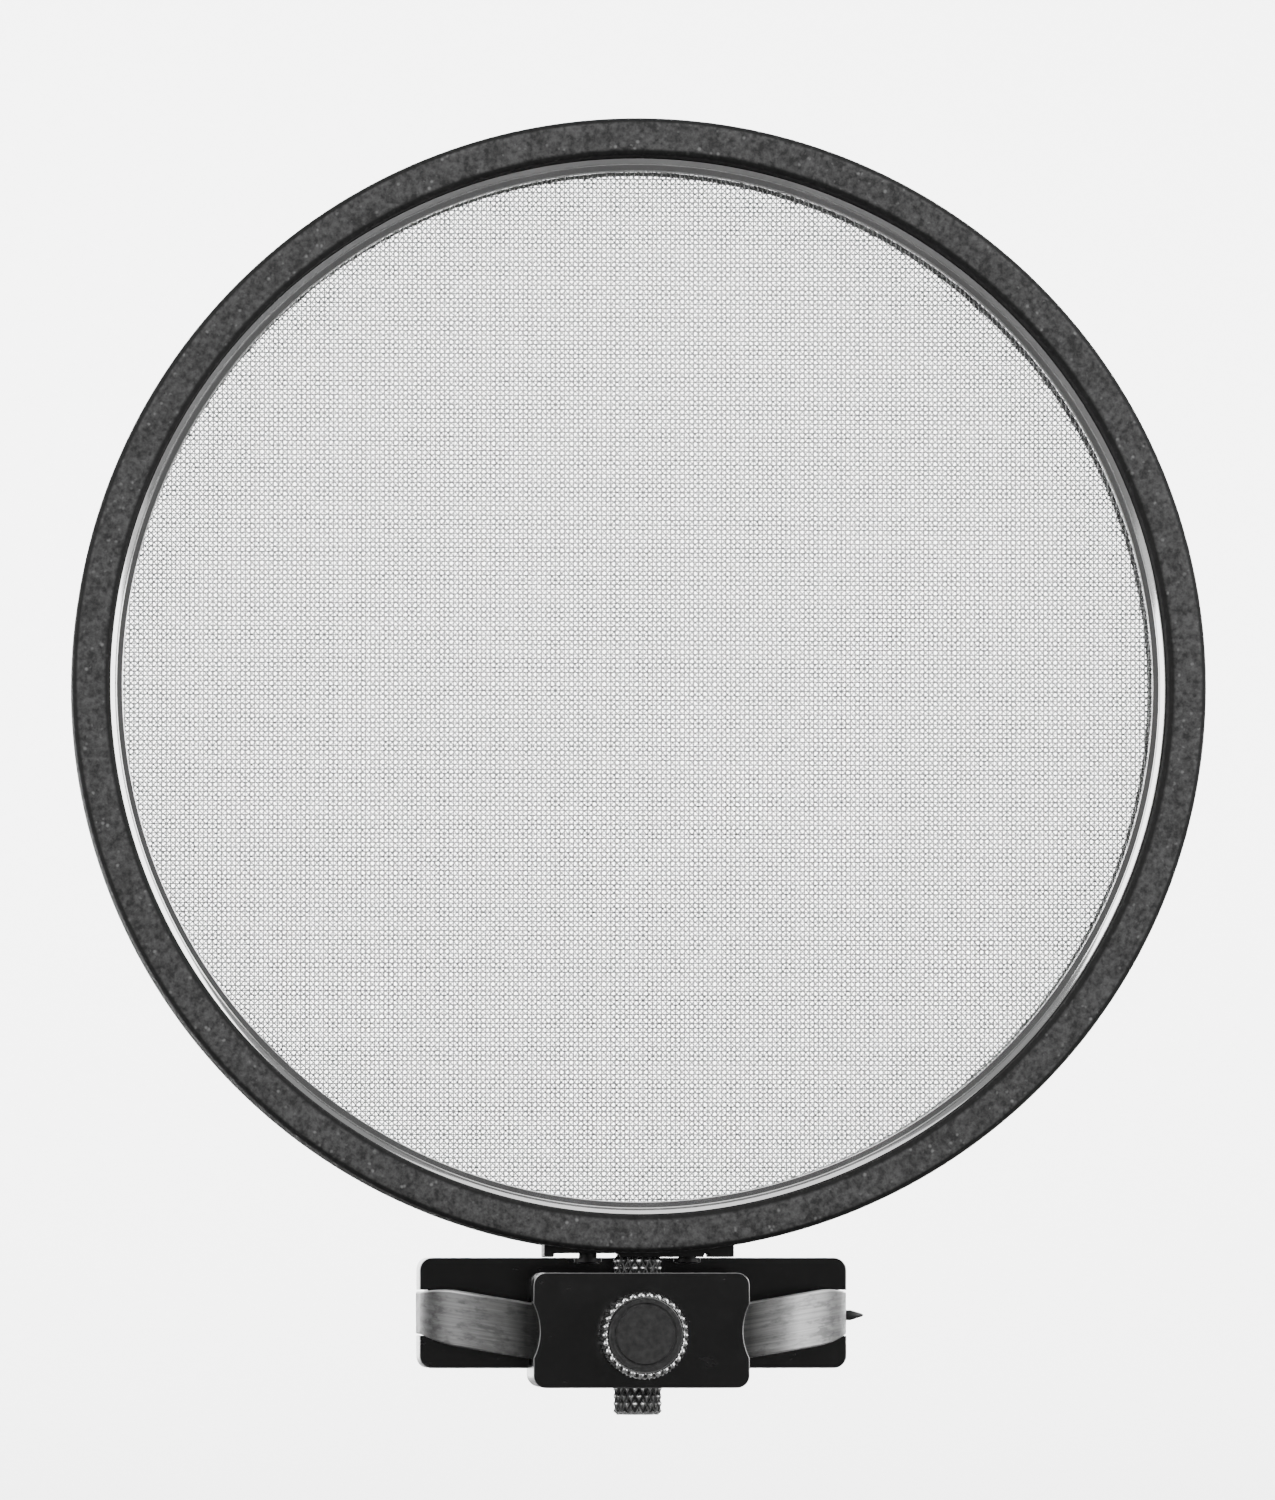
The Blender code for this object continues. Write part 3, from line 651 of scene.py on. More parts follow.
def build_hoop(name, side, material):
    """A hoop spun to a sloping bright lip, with a narrow flat ledge round the mesh inside it."""
    back = HOOP_BACK + 0.04 * MM
    front = HOOP_FRONT - 0.02 * MM
    crest = front + 0.24 * MM
    points = [(HOOP_R, back), (HOOP_R, front), (LIP_OUTER_R + 0.12 * MM, front)]
    points.append((LIP_OUTER_R + 0.06 * MM, crest - 0.16 * MM))
    points.append((LIP_OUTER_R - 0.02 * MM, crest - 0.03 * MM))
    height = crest
    crest_r = LIP_OUTER_R - 0.08 * MM
    points.append((crest_r, height))
    steps = 8
    slope = 0.52 * MM
    for i in range(1, steps + 1):
        share = i / steps
        height -= slope / steps * math.tan(math.radians(20 + 30 * share))
        points.append((crest_r - slope * share, height))
    ledge = height - 0.10 * MM
    ledge_r = points[-1][0] - 0.03 * MM
    points += [(ledge_r, ledge), (ledge_r - 0.02 * MM, ledge)]
    points += [(LEDGE_R + 0.12 * MM, ledge), (LEDGE_R + 0.10 * MM, ledge)]
    points += [(LEDGE_R + 0.03 * MM, ledge - 0.04 * MM), (LEDGE_R, ledge - 0.12 * MM), (LEDGE_R, back)]
    profile = [(radius, side * height) for radius, height in points]
    return turned(name + "_spun", profile, RING, "Y", 256, material, "screen", [name])


def build_spacer(material):
    return turned_like("spacer_hoop", "spacer_ring", "Y", 45.15 * MM, 0.25 * MM, 192,
                       material, "screen")


PITCH = 0.40 * MM
PITCH_ERROR = 0.020 * PITCH
PITCH_DRIFT = 0.006 * PITCH
WIRE_R = 0.054 * MM
WIRE_SIDES = 3
WEAVE_R = 45.9 * MM


def woven_wires(rng, turn, depth, side):
    """One direction of a plain weave: wires along local v, crossing the others every pitch.

    side is 0 for the wires standing up and 1 for those lying across; where one goes over,
    the other goes under. Returns a list of (n, 3) arrays, the middle line of each wire.
    """
    count = int(WEAVE_R / PITCH)
    shift = rng.normal(0.0, PITCH_ERROR, 2 * count + 1)
    drift = np.cumsum(rng.normal(0.0, PITCH_DRIFT, 2 * count + 1))
    drift -= np.linspace(drift[0], drift[-1], drift.size)
    wires = []
    cosine = math.cos(turn)
    sine = math.sin(turn)
    for index in range(-count, count + 1):
        across = index * PITCH + shift[index + count] + drift[index + count]
        reach = WEAVE_R ** 2 - across ** 2
        if reach <= (2 * PITCH) ** 2:
            continue
        stop = int(math.sqrt(reach) / PITCH)
        step = np.arange(-stop, stop + 1)
        along = step * PITCH
        over = np.where((step + index + side) % 2 == 0, 1.0, -1.0)
        height = over * WIRE_R * 0.98
        u, v = np.full_like(along, across), along
        if side == 1:
            u, v = v, u
        x = RING.x + u * cosine - v * sine
        z = RING.z + u * sine + v * cosine
        y = RING.y - depth - height
        wires.append(np.stack([x, y, z], axis=1))
    return wires


def wire_mesh(wires):
    """All the wires as thin prisms, closed at both ends: their points and their faces."""
    turns = TAU * (np.arange(WIRE_SIDES) + 0.5) / WIRE_SIDES
    front = np.array([0.0, -1.0, 0.0])
    corner = np.arange(WIRE_SIDES)
    after = (corner + 1) % WIRE_SIDES
    points = []
    faces = []
    base = 0
    for line in wires:
        run = (line[-1] - line[0]) / np.linalg.norm(line[-1] - line[0])
        flank = np.cross(run, front)
        ring = WIRE_R * (np.cos(turns)[:, None] * front + np.sin(turns)[:, None] * flank)
        points.append((line[:, None, :] + ring[None, :, :]).reshape(-1, 3))
        here = base + np.arange(len(line) - 1)[:, None] * WIRE_SIDES
        there = here + WIRE_SIDES
        quads = np.stack([here + corner, here + after, there + after, there + corner], axis=-1)
        faces += quads.reshape(-1, 4).tolist()
        last = base + (len(line) - 1) * WIRE_SIDES
        faces += caps([(base + corner).tolist(), (last + corner).tolist()])
        base += len(line) * WIRE_SIDES
    return np.concatenate(points).tolist(), faces


def wire_piece(name, wires, material, node):
    mesh = bpy.data.meshes.new(name)
    points, faces = wire_mesh(wires)
    mesh.from_pydata(points, [], faces)
    mesh.materials.append(material)
    mesh.shade_smooth()
    obj = linked(name, mesh)
    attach(obj, "screen")
    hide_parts(node)
    return obj


def build_weave(node, turn_deg, seed, material):
    """A woven disc in four pieces: two halves of the upright wires and two of the level ones."""
    rng = np.random.default_rng(seed)
    depth = RING.y - middle(node).y
    turn = math.radians(turn_deg)
    for side, label in ((0, "warp"), (1, "weft")):
        wires = woven_wires(rng, turn, depth, side)
        half = len(wires) // 2
        wire_piece(f"{node}_{label}_a", wires[:half], material, node)
        wire_piece(f"{node}_{label}_b", wires[half:], material, node)


# --- foot and post ---

FOOT_NOTCHES = ((-7.4, -7.3, -1.7, -1.6), (5.60, 5.65, 6.05, 6.10))


def build_foot(material):
    """The black saddle under the rim, hollowed to the hoops and drilled for post and screws."""
    low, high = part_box("hoop_foot")
    top_r = HOOP_R + 0.3 * MM
    lug = low.z - 0.21 * MM
    land = low.z + 0.12 * MM
    outline = [(low.x, lug)]
    for notch in FOOT_NOTCHES:
        outline += [(x * MM, z) for x, z in zip(notch, (lug, land, land, lug))]
    outline.append((high.x, lug))
    steps = 28
    for i in range(steps + 1):
        x = high.x + (low.x - high.x) * i / steps
        outline.append((x, RING.z - math.sqrt(top_r ** 2 - x ** 2)))
    foot = object_from(extrude_outline(outline, low.y, high.y, "Y"), "hoop_foot_casting")
    round_edges(foot, 0.10 * MM, 2, 40.0)
    post_bore = 1.45 * MM
    screw_bore = 0.95 * MM
    cutters = [cylinder(post_bore, (0, POST.y, 0), (0, POST.y, 12 * MM))]
    for side in ("left", "right"):
        x = middle("foot_screw_" + side).x
        cutters.append(cylinder(screw_bore, (x, POST.y, 0), (x, POST.y, 12 * MM)))
    carve(foot, cutters)
    return finish_piece(foot, material, "screen", ["hoop_foot"])


def cross_head(name, origin, axis, profile, recess_r, top, material, body, node):
    """A turned screw with a cross cut into its head, which looks along +Y or -Z."""
    screw = solid(name, *lathe_mesh(profile, origin, axis, 40))
    arm = recess_r * 0.26
    deep = 0.35 * recess_r
    cutters = []
    for wide, tall in ((recess_r, arm), (arm, recess_r)):
        if axis == "Y":
            start = (origin[0] - wide, origin[1] - top - deep, origin[2] - tall)
            end = (origin[0] + wide, origin[1] - top + MM, origin[2] + tall)
        else:
            start = (origin[0] - wide, origin[1] - tall, origin[2] + top - MM)
            end = (origin[0] + wide, origin[1] + tall, origin[2] + top + deep)
        cutters.append(box_cutter(start, end))
    carve(screw, cutters)
    return finish_piece(screw, material, body, [node])


def build_foot_screws(material):
    for side in ("left", "right"):
        node = "foot_screw_" + side
        low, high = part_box(node)
        radius = half_width(node)
        centre = (middle(node).x, POST.y, 0.0)
        shoulder = low.z + 0.45 * MM
        shank = 0.78 * MM
        points = [(0, high.z), (shank - 0.15 * MM, high.z), (shank, high.z - 0.15 * MM)]
        points += [(shank, shoulder), (radius, shoulder), (radius, low.z + 0.12 * MM)]
        points += [(radius - 0.25 * MM, low.z), (0, low.z)]
        cross_head(node + "_pan", centre, "Z", points, 0.62 * MM, low.z,
                   material, "screen", node)


FULL_NOTCH = 0.16 * MM


def knurl_height(turn, height, count, lead):
    """0 in the grooves and 1 on the points of a diamond knurl, at a turn of 0 to 1."""
    first = (turn * count + height / lead) % 1.0
    second = (turn * count - height / lead) % 1.0
    return np.minimum(np.abs(2 * first - 1), np.abs(2 * second - 1))


def knurled_cylinder(name, rows, origin, axis, count, lead, depth, per, material, body, node):
    """A turned piece whose rows marked True are cut with diamonds.

    rows is a list of (radius, height, cut, notch) down the outer side, with a pole at each end;
    notch is how far the row dips along the axis between the teeth.
    """
    steps = count * per
    turns = np.arange(steps) / steps
    teeth = 0.5 - 0.5 * np.cos(TAU * turns * count)
    verts = []
    grooves = []
    rings = []
    for radius, height, cut, notch in rows:
        if radius <= 0:
            rings.append(add_row(verts, [spun(0.0, height, 0.0, origin, axis)]))
            grooves.append(0.0)
            continue
        groove = (1.0 - knurl_height(turns, height, count, lead)) * cut
        ring = []
        for turn, fall, tooth in zip(turns, groove * depth, teeth):
            ring.append(spun(radius - fall, height - tooth * notch, TAU * turn, origin, axis))
        rings.append(add_row(verts, ring))
        # the stored groove, raised also in the dips between the teeth, drives painted shade in the
        # knurl's material
        grooves += np.maximum(groove, teeth ** 2 * min(1.0, notch / FULL_NOTCH)).tolist()
    obj = piece(name, verts, skin(rings), material, body, [node], smooth=48.0)
    layer = obj.data.attributes.new("groove", "FLOAT", "POINT")
    layer.data.foreach_set("value", np.array(grooves, dtype=np.float32))
    return obj


def build_post(material):
    """The knurled upright, chamfered below, with its stud in the foot."""
    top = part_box("hoop_foot")[0].z - 0.05 * MM
    bottom = POST_LOW.z
    stud_top = POST_HIGH.z
    stud_r = 1.3 * MM
    chamfer = 0.3 * MM
    lead = 1.30 * MM
    count = 18
    rows = [(0, stud_top, 0, 0), (stud_r - 0.1 * MM, stud_top, 0, 0)]
    rows += [(stud_r, stud_top - 0.1 * MM, 0, 0), (stud_r, top, 0, 0), (POST_R - chamfer, top, 0, 0)]
    step = lead / 12
    height = top - chamfer
    while height > bottom + chamfer:
        rows.append((POST_R, height, 1.0, 0))
        height -= step
    rows += [(POST_R, bottom + chamfer, 1.0, 0), (POST_R - chamfer, bottom, 0, 0), (0, bottom, 0, 0)]
    origin = (0.0, POST.y, 0.0)
    return knurled_cylinder("post_diamond_knurl", rows, origin, "Z", count, lead, 0.24 * MM, 10,
                            material, "screen", "knurled_post")


# --- the clamp ---

SCREW_BORE_R = 1.05 * MM


def pad_lines():
    """Where a pad touches the neck, and the ways along the pad and out through it."""
    angle = math.radians(40.0)
    touch = Vector((NECK_R * math.sin(angle), NECK_R - NECK_R * math.cos(angle)))
    along = Vector((math.cos(angle), math.sin(angle)))
    out = Vector((math.sin(angle), -math.cos(angle)))
    return touch, along, out


def build_plate(material):
    """The cross bar with its two horns; every edge rounded as a moulding's are."""
    touch, along, out = pad_lines()
    seat = touch + out * 1.3 * MM
    foot = seat - along * (seat.y / along.y)
    crest = foot + along * 5.6 * MM
    wide = PLATE_HIGH.x
    half = [(wide, PLATE_LOW.y), (wide, -0.9 * MM), (wide - 0.9 * MM, 0.0), (15.2 * MM, 0.0)]
    half += [(12.6 * MM, crest.y), (crest.x, crest.y), (foot.x, 0.0)]
    outline = half + [(-x, y) for x, y in reversed(half)]
    bm = extrude_outline(outline, PLATE_LOW.z, PLATE_HIGH.z, "Z")
    bevel_along(bm, 1, 1.1 * MM, 8)
    plate = object_from(bm, "saddle_plate_moulding")
    round_edges(plate, 0.32 * MM, 4, 28.0)
    cutters = []
    notch = STRAP_NARROW + 0.15 * MM
    head_bore = 1.8 * MM
    head_seat = -4.6 * MM
    for mirror in (-1, 1):
        start = (mirror * (STRAP_X - STRAP_THICK / 2 - 0.1 * MM), PLATE_LOW.y - MM, -notch)
        end = (mirror * (PLATE_HIGH.x + MM), MM, notch)
        cutters.append(box_cutter(start, end))
    for side in ("left", "right"):
        screw = middle("block_screw_" + side)
        cutters.append(cylinder(SCREW_BORE_R, (screw.x, PLATE_LOW.y - MM, 0), (screw.x, 0, 0)))
        cutters.append(cylinder(head_bore, (screw.x, head_seat, 0), (screw.x, 8 * MM, 0)))
    carve(plate, cutters)
    return finish_piece(plate, material, "clamp", ["saddle_plate"], 28.0)


def build_block(material):
    """The front block: rounded edges, scooped sides, and its bores and slots."""
    bm = box_bmesh(BLOCK_LOW, BLOCK_HIGH)
    bevel_along(bm, 1, 1.1 * MM, 10)
    block = object_from(bm, "clamp_block_moulding")
    wide = BLOCK_HIGH.x
    middle_z = -1.5 * MM
    scoop = 5.2 * MM
    scoop_x = wide - 0.55 * MM + scoop
    sides = []
    for mirror in (-1, 1):
        start = (mirror * scoop_x, BLOCK_LOW.y - MM, middle_z)
        end = (mirror * scoop_x, BLOCK_HIGH.y + MM, middle_z)
        sides.append(cylinder(scoop, start, end, 192))
    carve(block, sides)
    round_edges(block, 0.6 * MM, 6, 32.0)
    insert = middle("thumb_insert")
    bush_bore = 3.35 * MM
    insert_bore = 3.1 * MM
    pin_bore = 0.8 * MM
    cutters = [
        cylinder(bush_bore, (0, POST.y, BLOCK_LOW.z - MM), (0, POST.y, BLOCK_HIGH.z + MM), 96),
        cylinder(insert_bore, (0, BLOCK_LOW.y - MM, insert.z), (0, POST.y, insert.z), 96),
    ]
    for mirror, side in ((-1, "left"), (1, "right")):
        inner = mirror * 5.4 * MM
        outer = mirror * (wide + MM)
        low = (min(inner, outer), -16.5 * MM, -4.5 * MM)
        high = (max(inner, outer), -12.3 * MM, 1.4 * MM)
        slot = box_bmesh(low, high)
        bevel_along(slot, 0, 0.6 * MM, 4)
        cutters.append(object_from(slot, "cutter"))
        pin = middle("strap_pin_" + side)
        pin_top = BLOCK_HIGH.z - 0.9 * MM
        bottom = (pin.x, pin.y, BLOCK_LOW.z - MM)
        cutters.append(cylinder(pin_bore, bottom, (pin.x, pin.y, pin_top), 32))
        screw = middle("block_screw_" + side)
        cutters.append(cylinder(SCREW_BORE_R, (screw.x, -7 * MM, 0), (screw.x, -11.5 * MM, 0), 32))
    carve(block, cutters)
    return finish_piece(block, material, "clamp", ["clamp_block"], 28.0)


def build_pads(material):
    """Ribbed rubber strips on the horns' slopes."""
    touch, along, out = pad_lines()
    start = touch - along * 0.85 * MM
    end = touch + along * 2.9 * MM
    ribs = 5
    face = []
    for i in range(ribs):
        for f, dip in ((0.08, 0.0), (0.5, 0.0), (0.62, 0.22), (0.96, 0.22)):
            place = (i + f) / ribs
            face.append(start.lerp(end, place) + out * dip * MM)
    face[-1] = end.copy()
    face[-2] = end - along * 0.3 * MM
    corners = [start] + face + [end + out * MM, start + out * MM]
    low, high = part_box("saddle_pad_left")
    for side, mirror in (("left", -1), ("right", 1)):
        outline = [(p.x * mirror, p.y) for p in corners]
        if mirror < 0:
            outline.reverse()
        pad = object_from(extrude_outline(outline, low.z, high.z, "Z"), f"saddle_pad_{side}_ribbed")
        round_edges(pad, 0.06 * MM, 2, 30.0)
        finish_piece(pad, material, "clamp", ["saddle_pad_" + side])


def build_block_screws(material):
    for side in ("left", "right"):
        node = "block_screw_" + side
        low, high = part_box(node)
        centre = (middle(node).x, 0.0, 0.0)
        radius = half_width(node)
        head = -high.y
        seat = head + 1.4 * MM
        tip = -low.y
        points = [(0, tip), (0.5 * MM, tip)]
        height = tip - 0.4 * MM
        while height > seat + 0.5 * MM:
            points.append((0.72 * MM, height))
            points.append((0.9 * MM, height - 0.2 * MM))
            height -= 0.4 * MM
        points += [(0.8 * MM, seat), (radius, seat), (radius, head + 0.5 * MM)]
        points += [(radius - 0.12 * MM, head + 0.2 * MM), (radius - 0.5 * MM, head), (0, head)]
        cross_head(node + "_pan", centre, "Y", points, 0.95 * MM, head,
                   material, "clamp", node)


def build_pins(material):
    for node in ("strap_pin_left", "strap_pin_right"):
        turned_like(node + "_dowel", node, "Z", 0, 0.18 * MM, 40, material, "clamp")


# --- the strap ---

STRAP_THICK = 0.6 * MM
STRAP_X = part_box("strap")[1].x - STRAP_THICK / 2
STRAP_END = Vector((5.9 * MM, -14.25 * MM))
STRAP_CORNER = Vector((STRAP_X, STRAP_END.y))
STRAP_BEND_R = 7.0 * MM
STRAP_SIDE_BEND_R = 5.0 * MM
STRAP_TURN_Y = 1.2 * MM
STRAP_LOOP_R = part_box("strap")[1].y - NECK_R - STRAP_THICK / 2
STRAP_WIDE = 2.42 * MM
STRAP_NARROW = 1.85 * MM
STRAP_TAPER_X = 15.5 * MM
STRAP_DROP = -1.5 * MM


def rounded_path(points, radii, step):
    """A flat path through points, its inner corners rounded to the radii given."""
    path = [points[0]]
    for before, corner, after, radius in zip(points, points[1:], points[2:], radii):
        inward = (before - corner).normalized()
        onward = (after - corner).normalized()
        half = inward.angle(onward) / 2
        reach = radius / math.tan(half)
        centre = corner + (inward + onward).normalized() * (radius / math.sin(half))
        first = corner + inward * reach - centre
        last = corner + onward * reach - centre
        sweep = first.angle_signed(last)
        count = max(4, math.ceil(abs(sweep) * radius / step))
        begin = math.atan2(first.y, first.x)
        for i in range(count + 1):
            angle = begin - sweep * i / count
            path.append(centre + Vector((math.cos(angle), math.sin(angle))) * radius)
    path.append(points[-1])
    return path


def evenly(path, step):
    result = [path[0]]
    for start, end in zip(path, path[1:]):
        count = max(1, math.ceil((end - start).length / step))
        for i in range(1, count + 1):
            result.append(start.lerp(end, i / count))
    return result


def strap_route():
    turn = Vector((STRAP_X, STRAP_TURN_Y))
    to_neck = Vector((0, NECK_R)) - turn
    lean = math.asin(STRAP_LOOP_R / to_neck.length)
    rise = math.atan2(to_neck.y, -to_neck.x) + lean
    apex = Vector((0, STRAP_TURN_Y + STRAP_X * math.tan(rise)))
    half = [STRAP_END, STRAP_CORNER, turn]
    points = [Vector((-p.x, p.y)) for p in half] + [apex] + list(reversed(half))
    bends = [STRAP_BEND_R, STRAP_SIDE_BEND_R]
    radii = bends + [STRAP_LOOP_R] + list(reversed(bends))
    return evenly(rounded_path(points, radii, 0.25 * MM), 0.5 * MM)


def strap_section(point):
    """Middle height and half width: the strap dips and widens towards the block."""
    if point.y > STRAP_CORNER.y + STRAP_BEND_R:
        return 0.0, STRAP_NARROW
    edge = BLOCK_HIGH.x
    rise = min(1.0, max(0.0, (abs(point.x) - edge) / (STRAP_X - edge)))
    taper = min(1.0, max(0.0, (abs(point.x) - STRAP_TAPER_X) / (STRAP_X - STRAP_TAPER_X)))
    return STRAP_DROP * (1 - rise), STRAP_WIDE + (STRAP_NARROW - STRAP_WIDE) * taper * taper


def band(name, path, section, thickness, edge, material, nodes):
    """A band standing on edge along a path, with rounded edges and its lay stored.

    The lay is the distance along, the height, and the height as a share of the half width.
    """
    half_thick = thickness / 2
    verts = []
    lay = []
    travelled = 0.0
    rows = []
    for i, point in enumerate(path):
        before = path[max(0, i - 1)]
        after = path[min(len(path) - 1, i + 1)]
        run = (after - before).normalized()
        side = Vector((run.y, -run.x))
        if i:
            travelled += (point - path[i - 1]).length
        height, half = section(point)
        corners = [(half_thick, half), (half_thick, -half), (-half_thick, -half), (-half_thick, half)]
        shape = rounded(corners, edge, 3)
        ring = [(point.x + side.x * t, point.y + side.y * t, height + w) for t, w in shape]
        rows.append(add_row(verts, ring))
        lay += [(travelled, w, MM * w / half) for t, w in shape]
    obj = piece(name, verts, skin(rows) + caps(rows), material, "clamp", nodes, smooth=50.0)
    layer = obj.data.attributes.new("lay", "FLOAT_VECTOR", "POINT")
    layer.data.foreach_set("vector", np.array(lay, dtype=np.float32).ravel())
    return obj


def build_strap(material, liner_material):
    band("strap_band", strap_route(), strap_section, STRAP_THICK, 0.18 * MM,
         material, ["strap"])
    radius = NECK_R + 0.7 * MM
    count = 72
    spread = math.radians(62)
    path = []
    for i in range(count + 1):
        angle = math.radians(90) + spread - 2 * spread * i / count
        path.append(Vector((radius * math.cos(angle), NECK_R + radius * math.sin(angle))))
    band("strap_liner_strip", path, lambda point: (0.0, STRAP_NARROW), 0.8 * MM, 0.2 * MM,
         liner_material, ["strap_liner"])


def build_hook(material):
    """The pointed tongue of the release hook at the strap's right end."""
    low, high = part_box("strap_hook")
    centre = middle("strap_hook")
    start = low.x - 0.28 * MM
    sections = ((0.0, 1.0, 1.0), (0.3, 1.0, 1.0), (0.65, 0.75, 0.62), (0.9, 0.5, 0.35), (1.0, 0.3, 0.15))
    deep = (high.y - low.y) / 2
    tall = (high.z - low.z) / 2
    verts = []
    rows = []
    steps = 20
    for place, wide, high_share in sections:
        x = start + (high.x - start) * place
        ring = []
        for i in range(steps):
            across = math.cos(TAU * i / steps)
            up = math.sin(TAU * i / steps)
            y = centre.y + deep * wide * math.copysign(abs(across) ** 0.5, across)
            z = centre.z + tall * high_share * math.copysign(abs(up) ** 0.5, up)
            ring.append((x, y, z))
        rows.append(add_row(verts, ring))
    return piece("strap_hook_tongue", verts, caps(rows) + skin(rows), material, "clamp",
                 ["strap_hook"])


def build_bush(material):
    """The sleeve round the post, slit at the back so that it can be pinched."""
    low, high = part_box("post_bush")
    outer = half_width("post_bush")
    inner = POST_R + 0.12 * MM
    points = [(outer, high.z), (outer, low.z), (inner, low.z), (inner, high.z)]
    profile = rounded(points, 0.25 * MM, 3)
    bush = solid("post_bush_split", *lathe_mesh(profile, (0, POST.y, 0), "Z", 72))
    slit = 0.4 * MM
    carve(bush, [box_cutter((-slit, POST.y, low.z - MM), (slit, POST.y + outer + MM, high.z + MM))])
    return finish_piece(bush, material, "bush", ["post_bush"])


# --- the thumbscrew ---

def build_insert(material):
    turned_like("thumb_insert_turned", "thumb_insert", "Y", 1.95 * MM, 0.2 * MM, 72,
                material, "clamp")


def build_washer(material):
    turned_like("thumb_washer_disc", "thumb_washer", "Y", 2.0 * MM, 0.12 * MM, 72,
                material, "thumbscrew")


def build_knob(material):
    """The knurled head: diamonds round its side, a plain bright rim, and a cup for the disc."""
    front = -KNOB_LOW.y
    back = -KNOB_HIGH.y
    cup = front - 1.1 * MM
    face_r = 3.27 * MM
    deep = FULL_NOTCH
    lead = 1.2 * MM
    rows = [(0, cup, 0, 0), (face_r, cup, 0, 0), (face_r, front - 0.14 * MM, 0, 0)]
    rows += [(3.33 * MM, front - 0.04 * MM, 0, deep * 0.4), (3.42 * MM, front, 0, deep)]
    rows += [(3.52 * MM, front - 0.02 * MM, 0, deep), (3.66 * MM, front - 0.12 * MM, 0.5, deep * 0.8)]
    rows += [(3.76 * MM, front - 0.26 * MM, 0.8, deep * 0.4)]
    height = front - 0.40 * MM
    step = lead / 12
    while height > back + 0.32 * MM:
        rows.append((KNOB_R, height, 1.0, 0))
        height -= step
    rows += [(KNOB_R - 0.12 * MM, back + 0.1 * MM, 0.4, 0), (KNOB_R - 0.32 * MM, back, 0, 0)]
    rows += [(2.0 * MM, back, 0, 0), (2.0 * MM, back + 0.4 * MM, 0, 0), (0, back + 0.4 * MM, 0, 0)]
    origin = (0, 0, KNOB.z)
    return knurled_cylinder("thumb_head_knurled", rows, origin, "Y", 30, lead, 0.26 * MM, 8,
                            material, "thumbscrew", "thumb_head")


def build_face(material):
    """The dark disc, slightly domed, with its ring groove."""
    low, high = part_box("thumb_face")
    front = -low.y
    back = -high.y
    outer = 3.16 * MM
    groove_r = 2.45 * MM
    rise = 0.05 * MM
    points = [(0, front)]
    for i in range(1, 7):
        r = groove_r * i / 6
        points.append((r, front - rise * (r / outer) ** 2))
    points += [(2.52 * MM, front - 0.14 * MM), (2.62 * MM, front - 0.17 * MM)]
    points.append((2.72 * MM, front - 0.14 * MM))
    points += [(2.79 * MM, front - rise), (outer - 0.12 * MM, front - rise * 1.2)]
    points += [(outer, front - 0.16 * MM), (outer, back), (0, back)]
    return turned("thumb_face_disc", points, (0, 0, KNOB.z), "Y", 96, material, "thumbscrew",
                  ["thumb_face"])


def build_shaft(material):
    """The threaded shaft: a real helix, cut as a ridge that climbs one pitch a turn."""
    low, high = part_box("thumb_shaft")
    radius = half_width("thumb_shaft")
    front = -low.y
    back = -high.y
    pitch = 0.7 * MM
    steps = 48
    rings = max(12, int((front - back) / (pitch / 10)))
    origin = (0, 0, KNOB.z)
    verts = []
    rows = [add_row(verts, [spun(0.0, front, 0.0, origin, "Y")])]
    for k in range(rings + 1):
        height = front + (back - front) * k / rings
        taper = min(1.0, (height - back) / (0.35 * MM), (front - height) / (0.2 * MM) + 0.2)
        ring = []
        for i in range(steps):
            phase = (height / pitch + i / steps) % 1.0
            dip = 1.0 - abs(2 * phase - 1)
            r = radius - 0.32 * MM * dip - 0.25 * MM * (1 - max(0.0, taper))
            ring.append(spun(r, height, TAU * i / steps, origin, "Y"))
        rows.append(add_row(verts, ring))
    rows.append(add_row(verts, [spun(0.0, back, 0.0, origin, "Y")]))
    return piece("thumb_shaft_threaded", verts, skin(rows), material, "thumbscrew",
                 ["thumb_shaft"])


def build_shoe(material):
    turned_like("pinch_shoe_turned", "pinch_shoe", "Y", 0, 0.18 * MM, 48, material, "shoe")


# --- floor, light and camera ---

def studio_sheet(name, verts, faces, material):
    mesh = bpy.data.meshes.new(name)
    mesh.from_pydata(verts, [], faces)
    mesh.materials.append(material)
    mesh.shade_smooth()
    return linked(name, mesh)


def build_stage():
    """A pale sweep: floor below the part, rising behind it."""
    level = PLATE_LOW.z - 42 * MM
    wide = 3.0
    bend = 1.3
    rise = 0.7
    profile = [(-wide, level)]
    for i in range(25):
        angle = math.radians(90) * i / 24
        profile.append((bend + rise * math.sin(angle), level + rise * (1 - math.cos(angle))))
    profile.append((bend + rise, level + wide))
    verts = []
    for y, z in profile:
        verts += [(-wide, y, z), (wide, y, z)]
    faces = [(2 * i, 2 * i + 1, 2 * i + 3, 2 * i + 2) for i in range(len(profile) - 1)]
    sweep = studio_sheet("studio_sweep", verts, faces, matt("studio_paper", 2.5 * MM, 4.0, 0.46, 0.50))


def build_card():
    """A grey card on the floor before the part, seen only in its reflections."""
    level = PLATE_LOW.z - 38 * MM
    wide = 0.35
    near = -0.50
    far = 0.06
    verts = [(-wide, near, level), (wide, near, level), (wide, far, level), (-wide, far, level)]
    card = studio_sheet("grey_card", verts, [(0, 1, 2, 3)], matt("grey_card", 3 * MM, 3.0, 0.15, 0.19))
    card.visible_camera = False
    card.visible_shadow = False


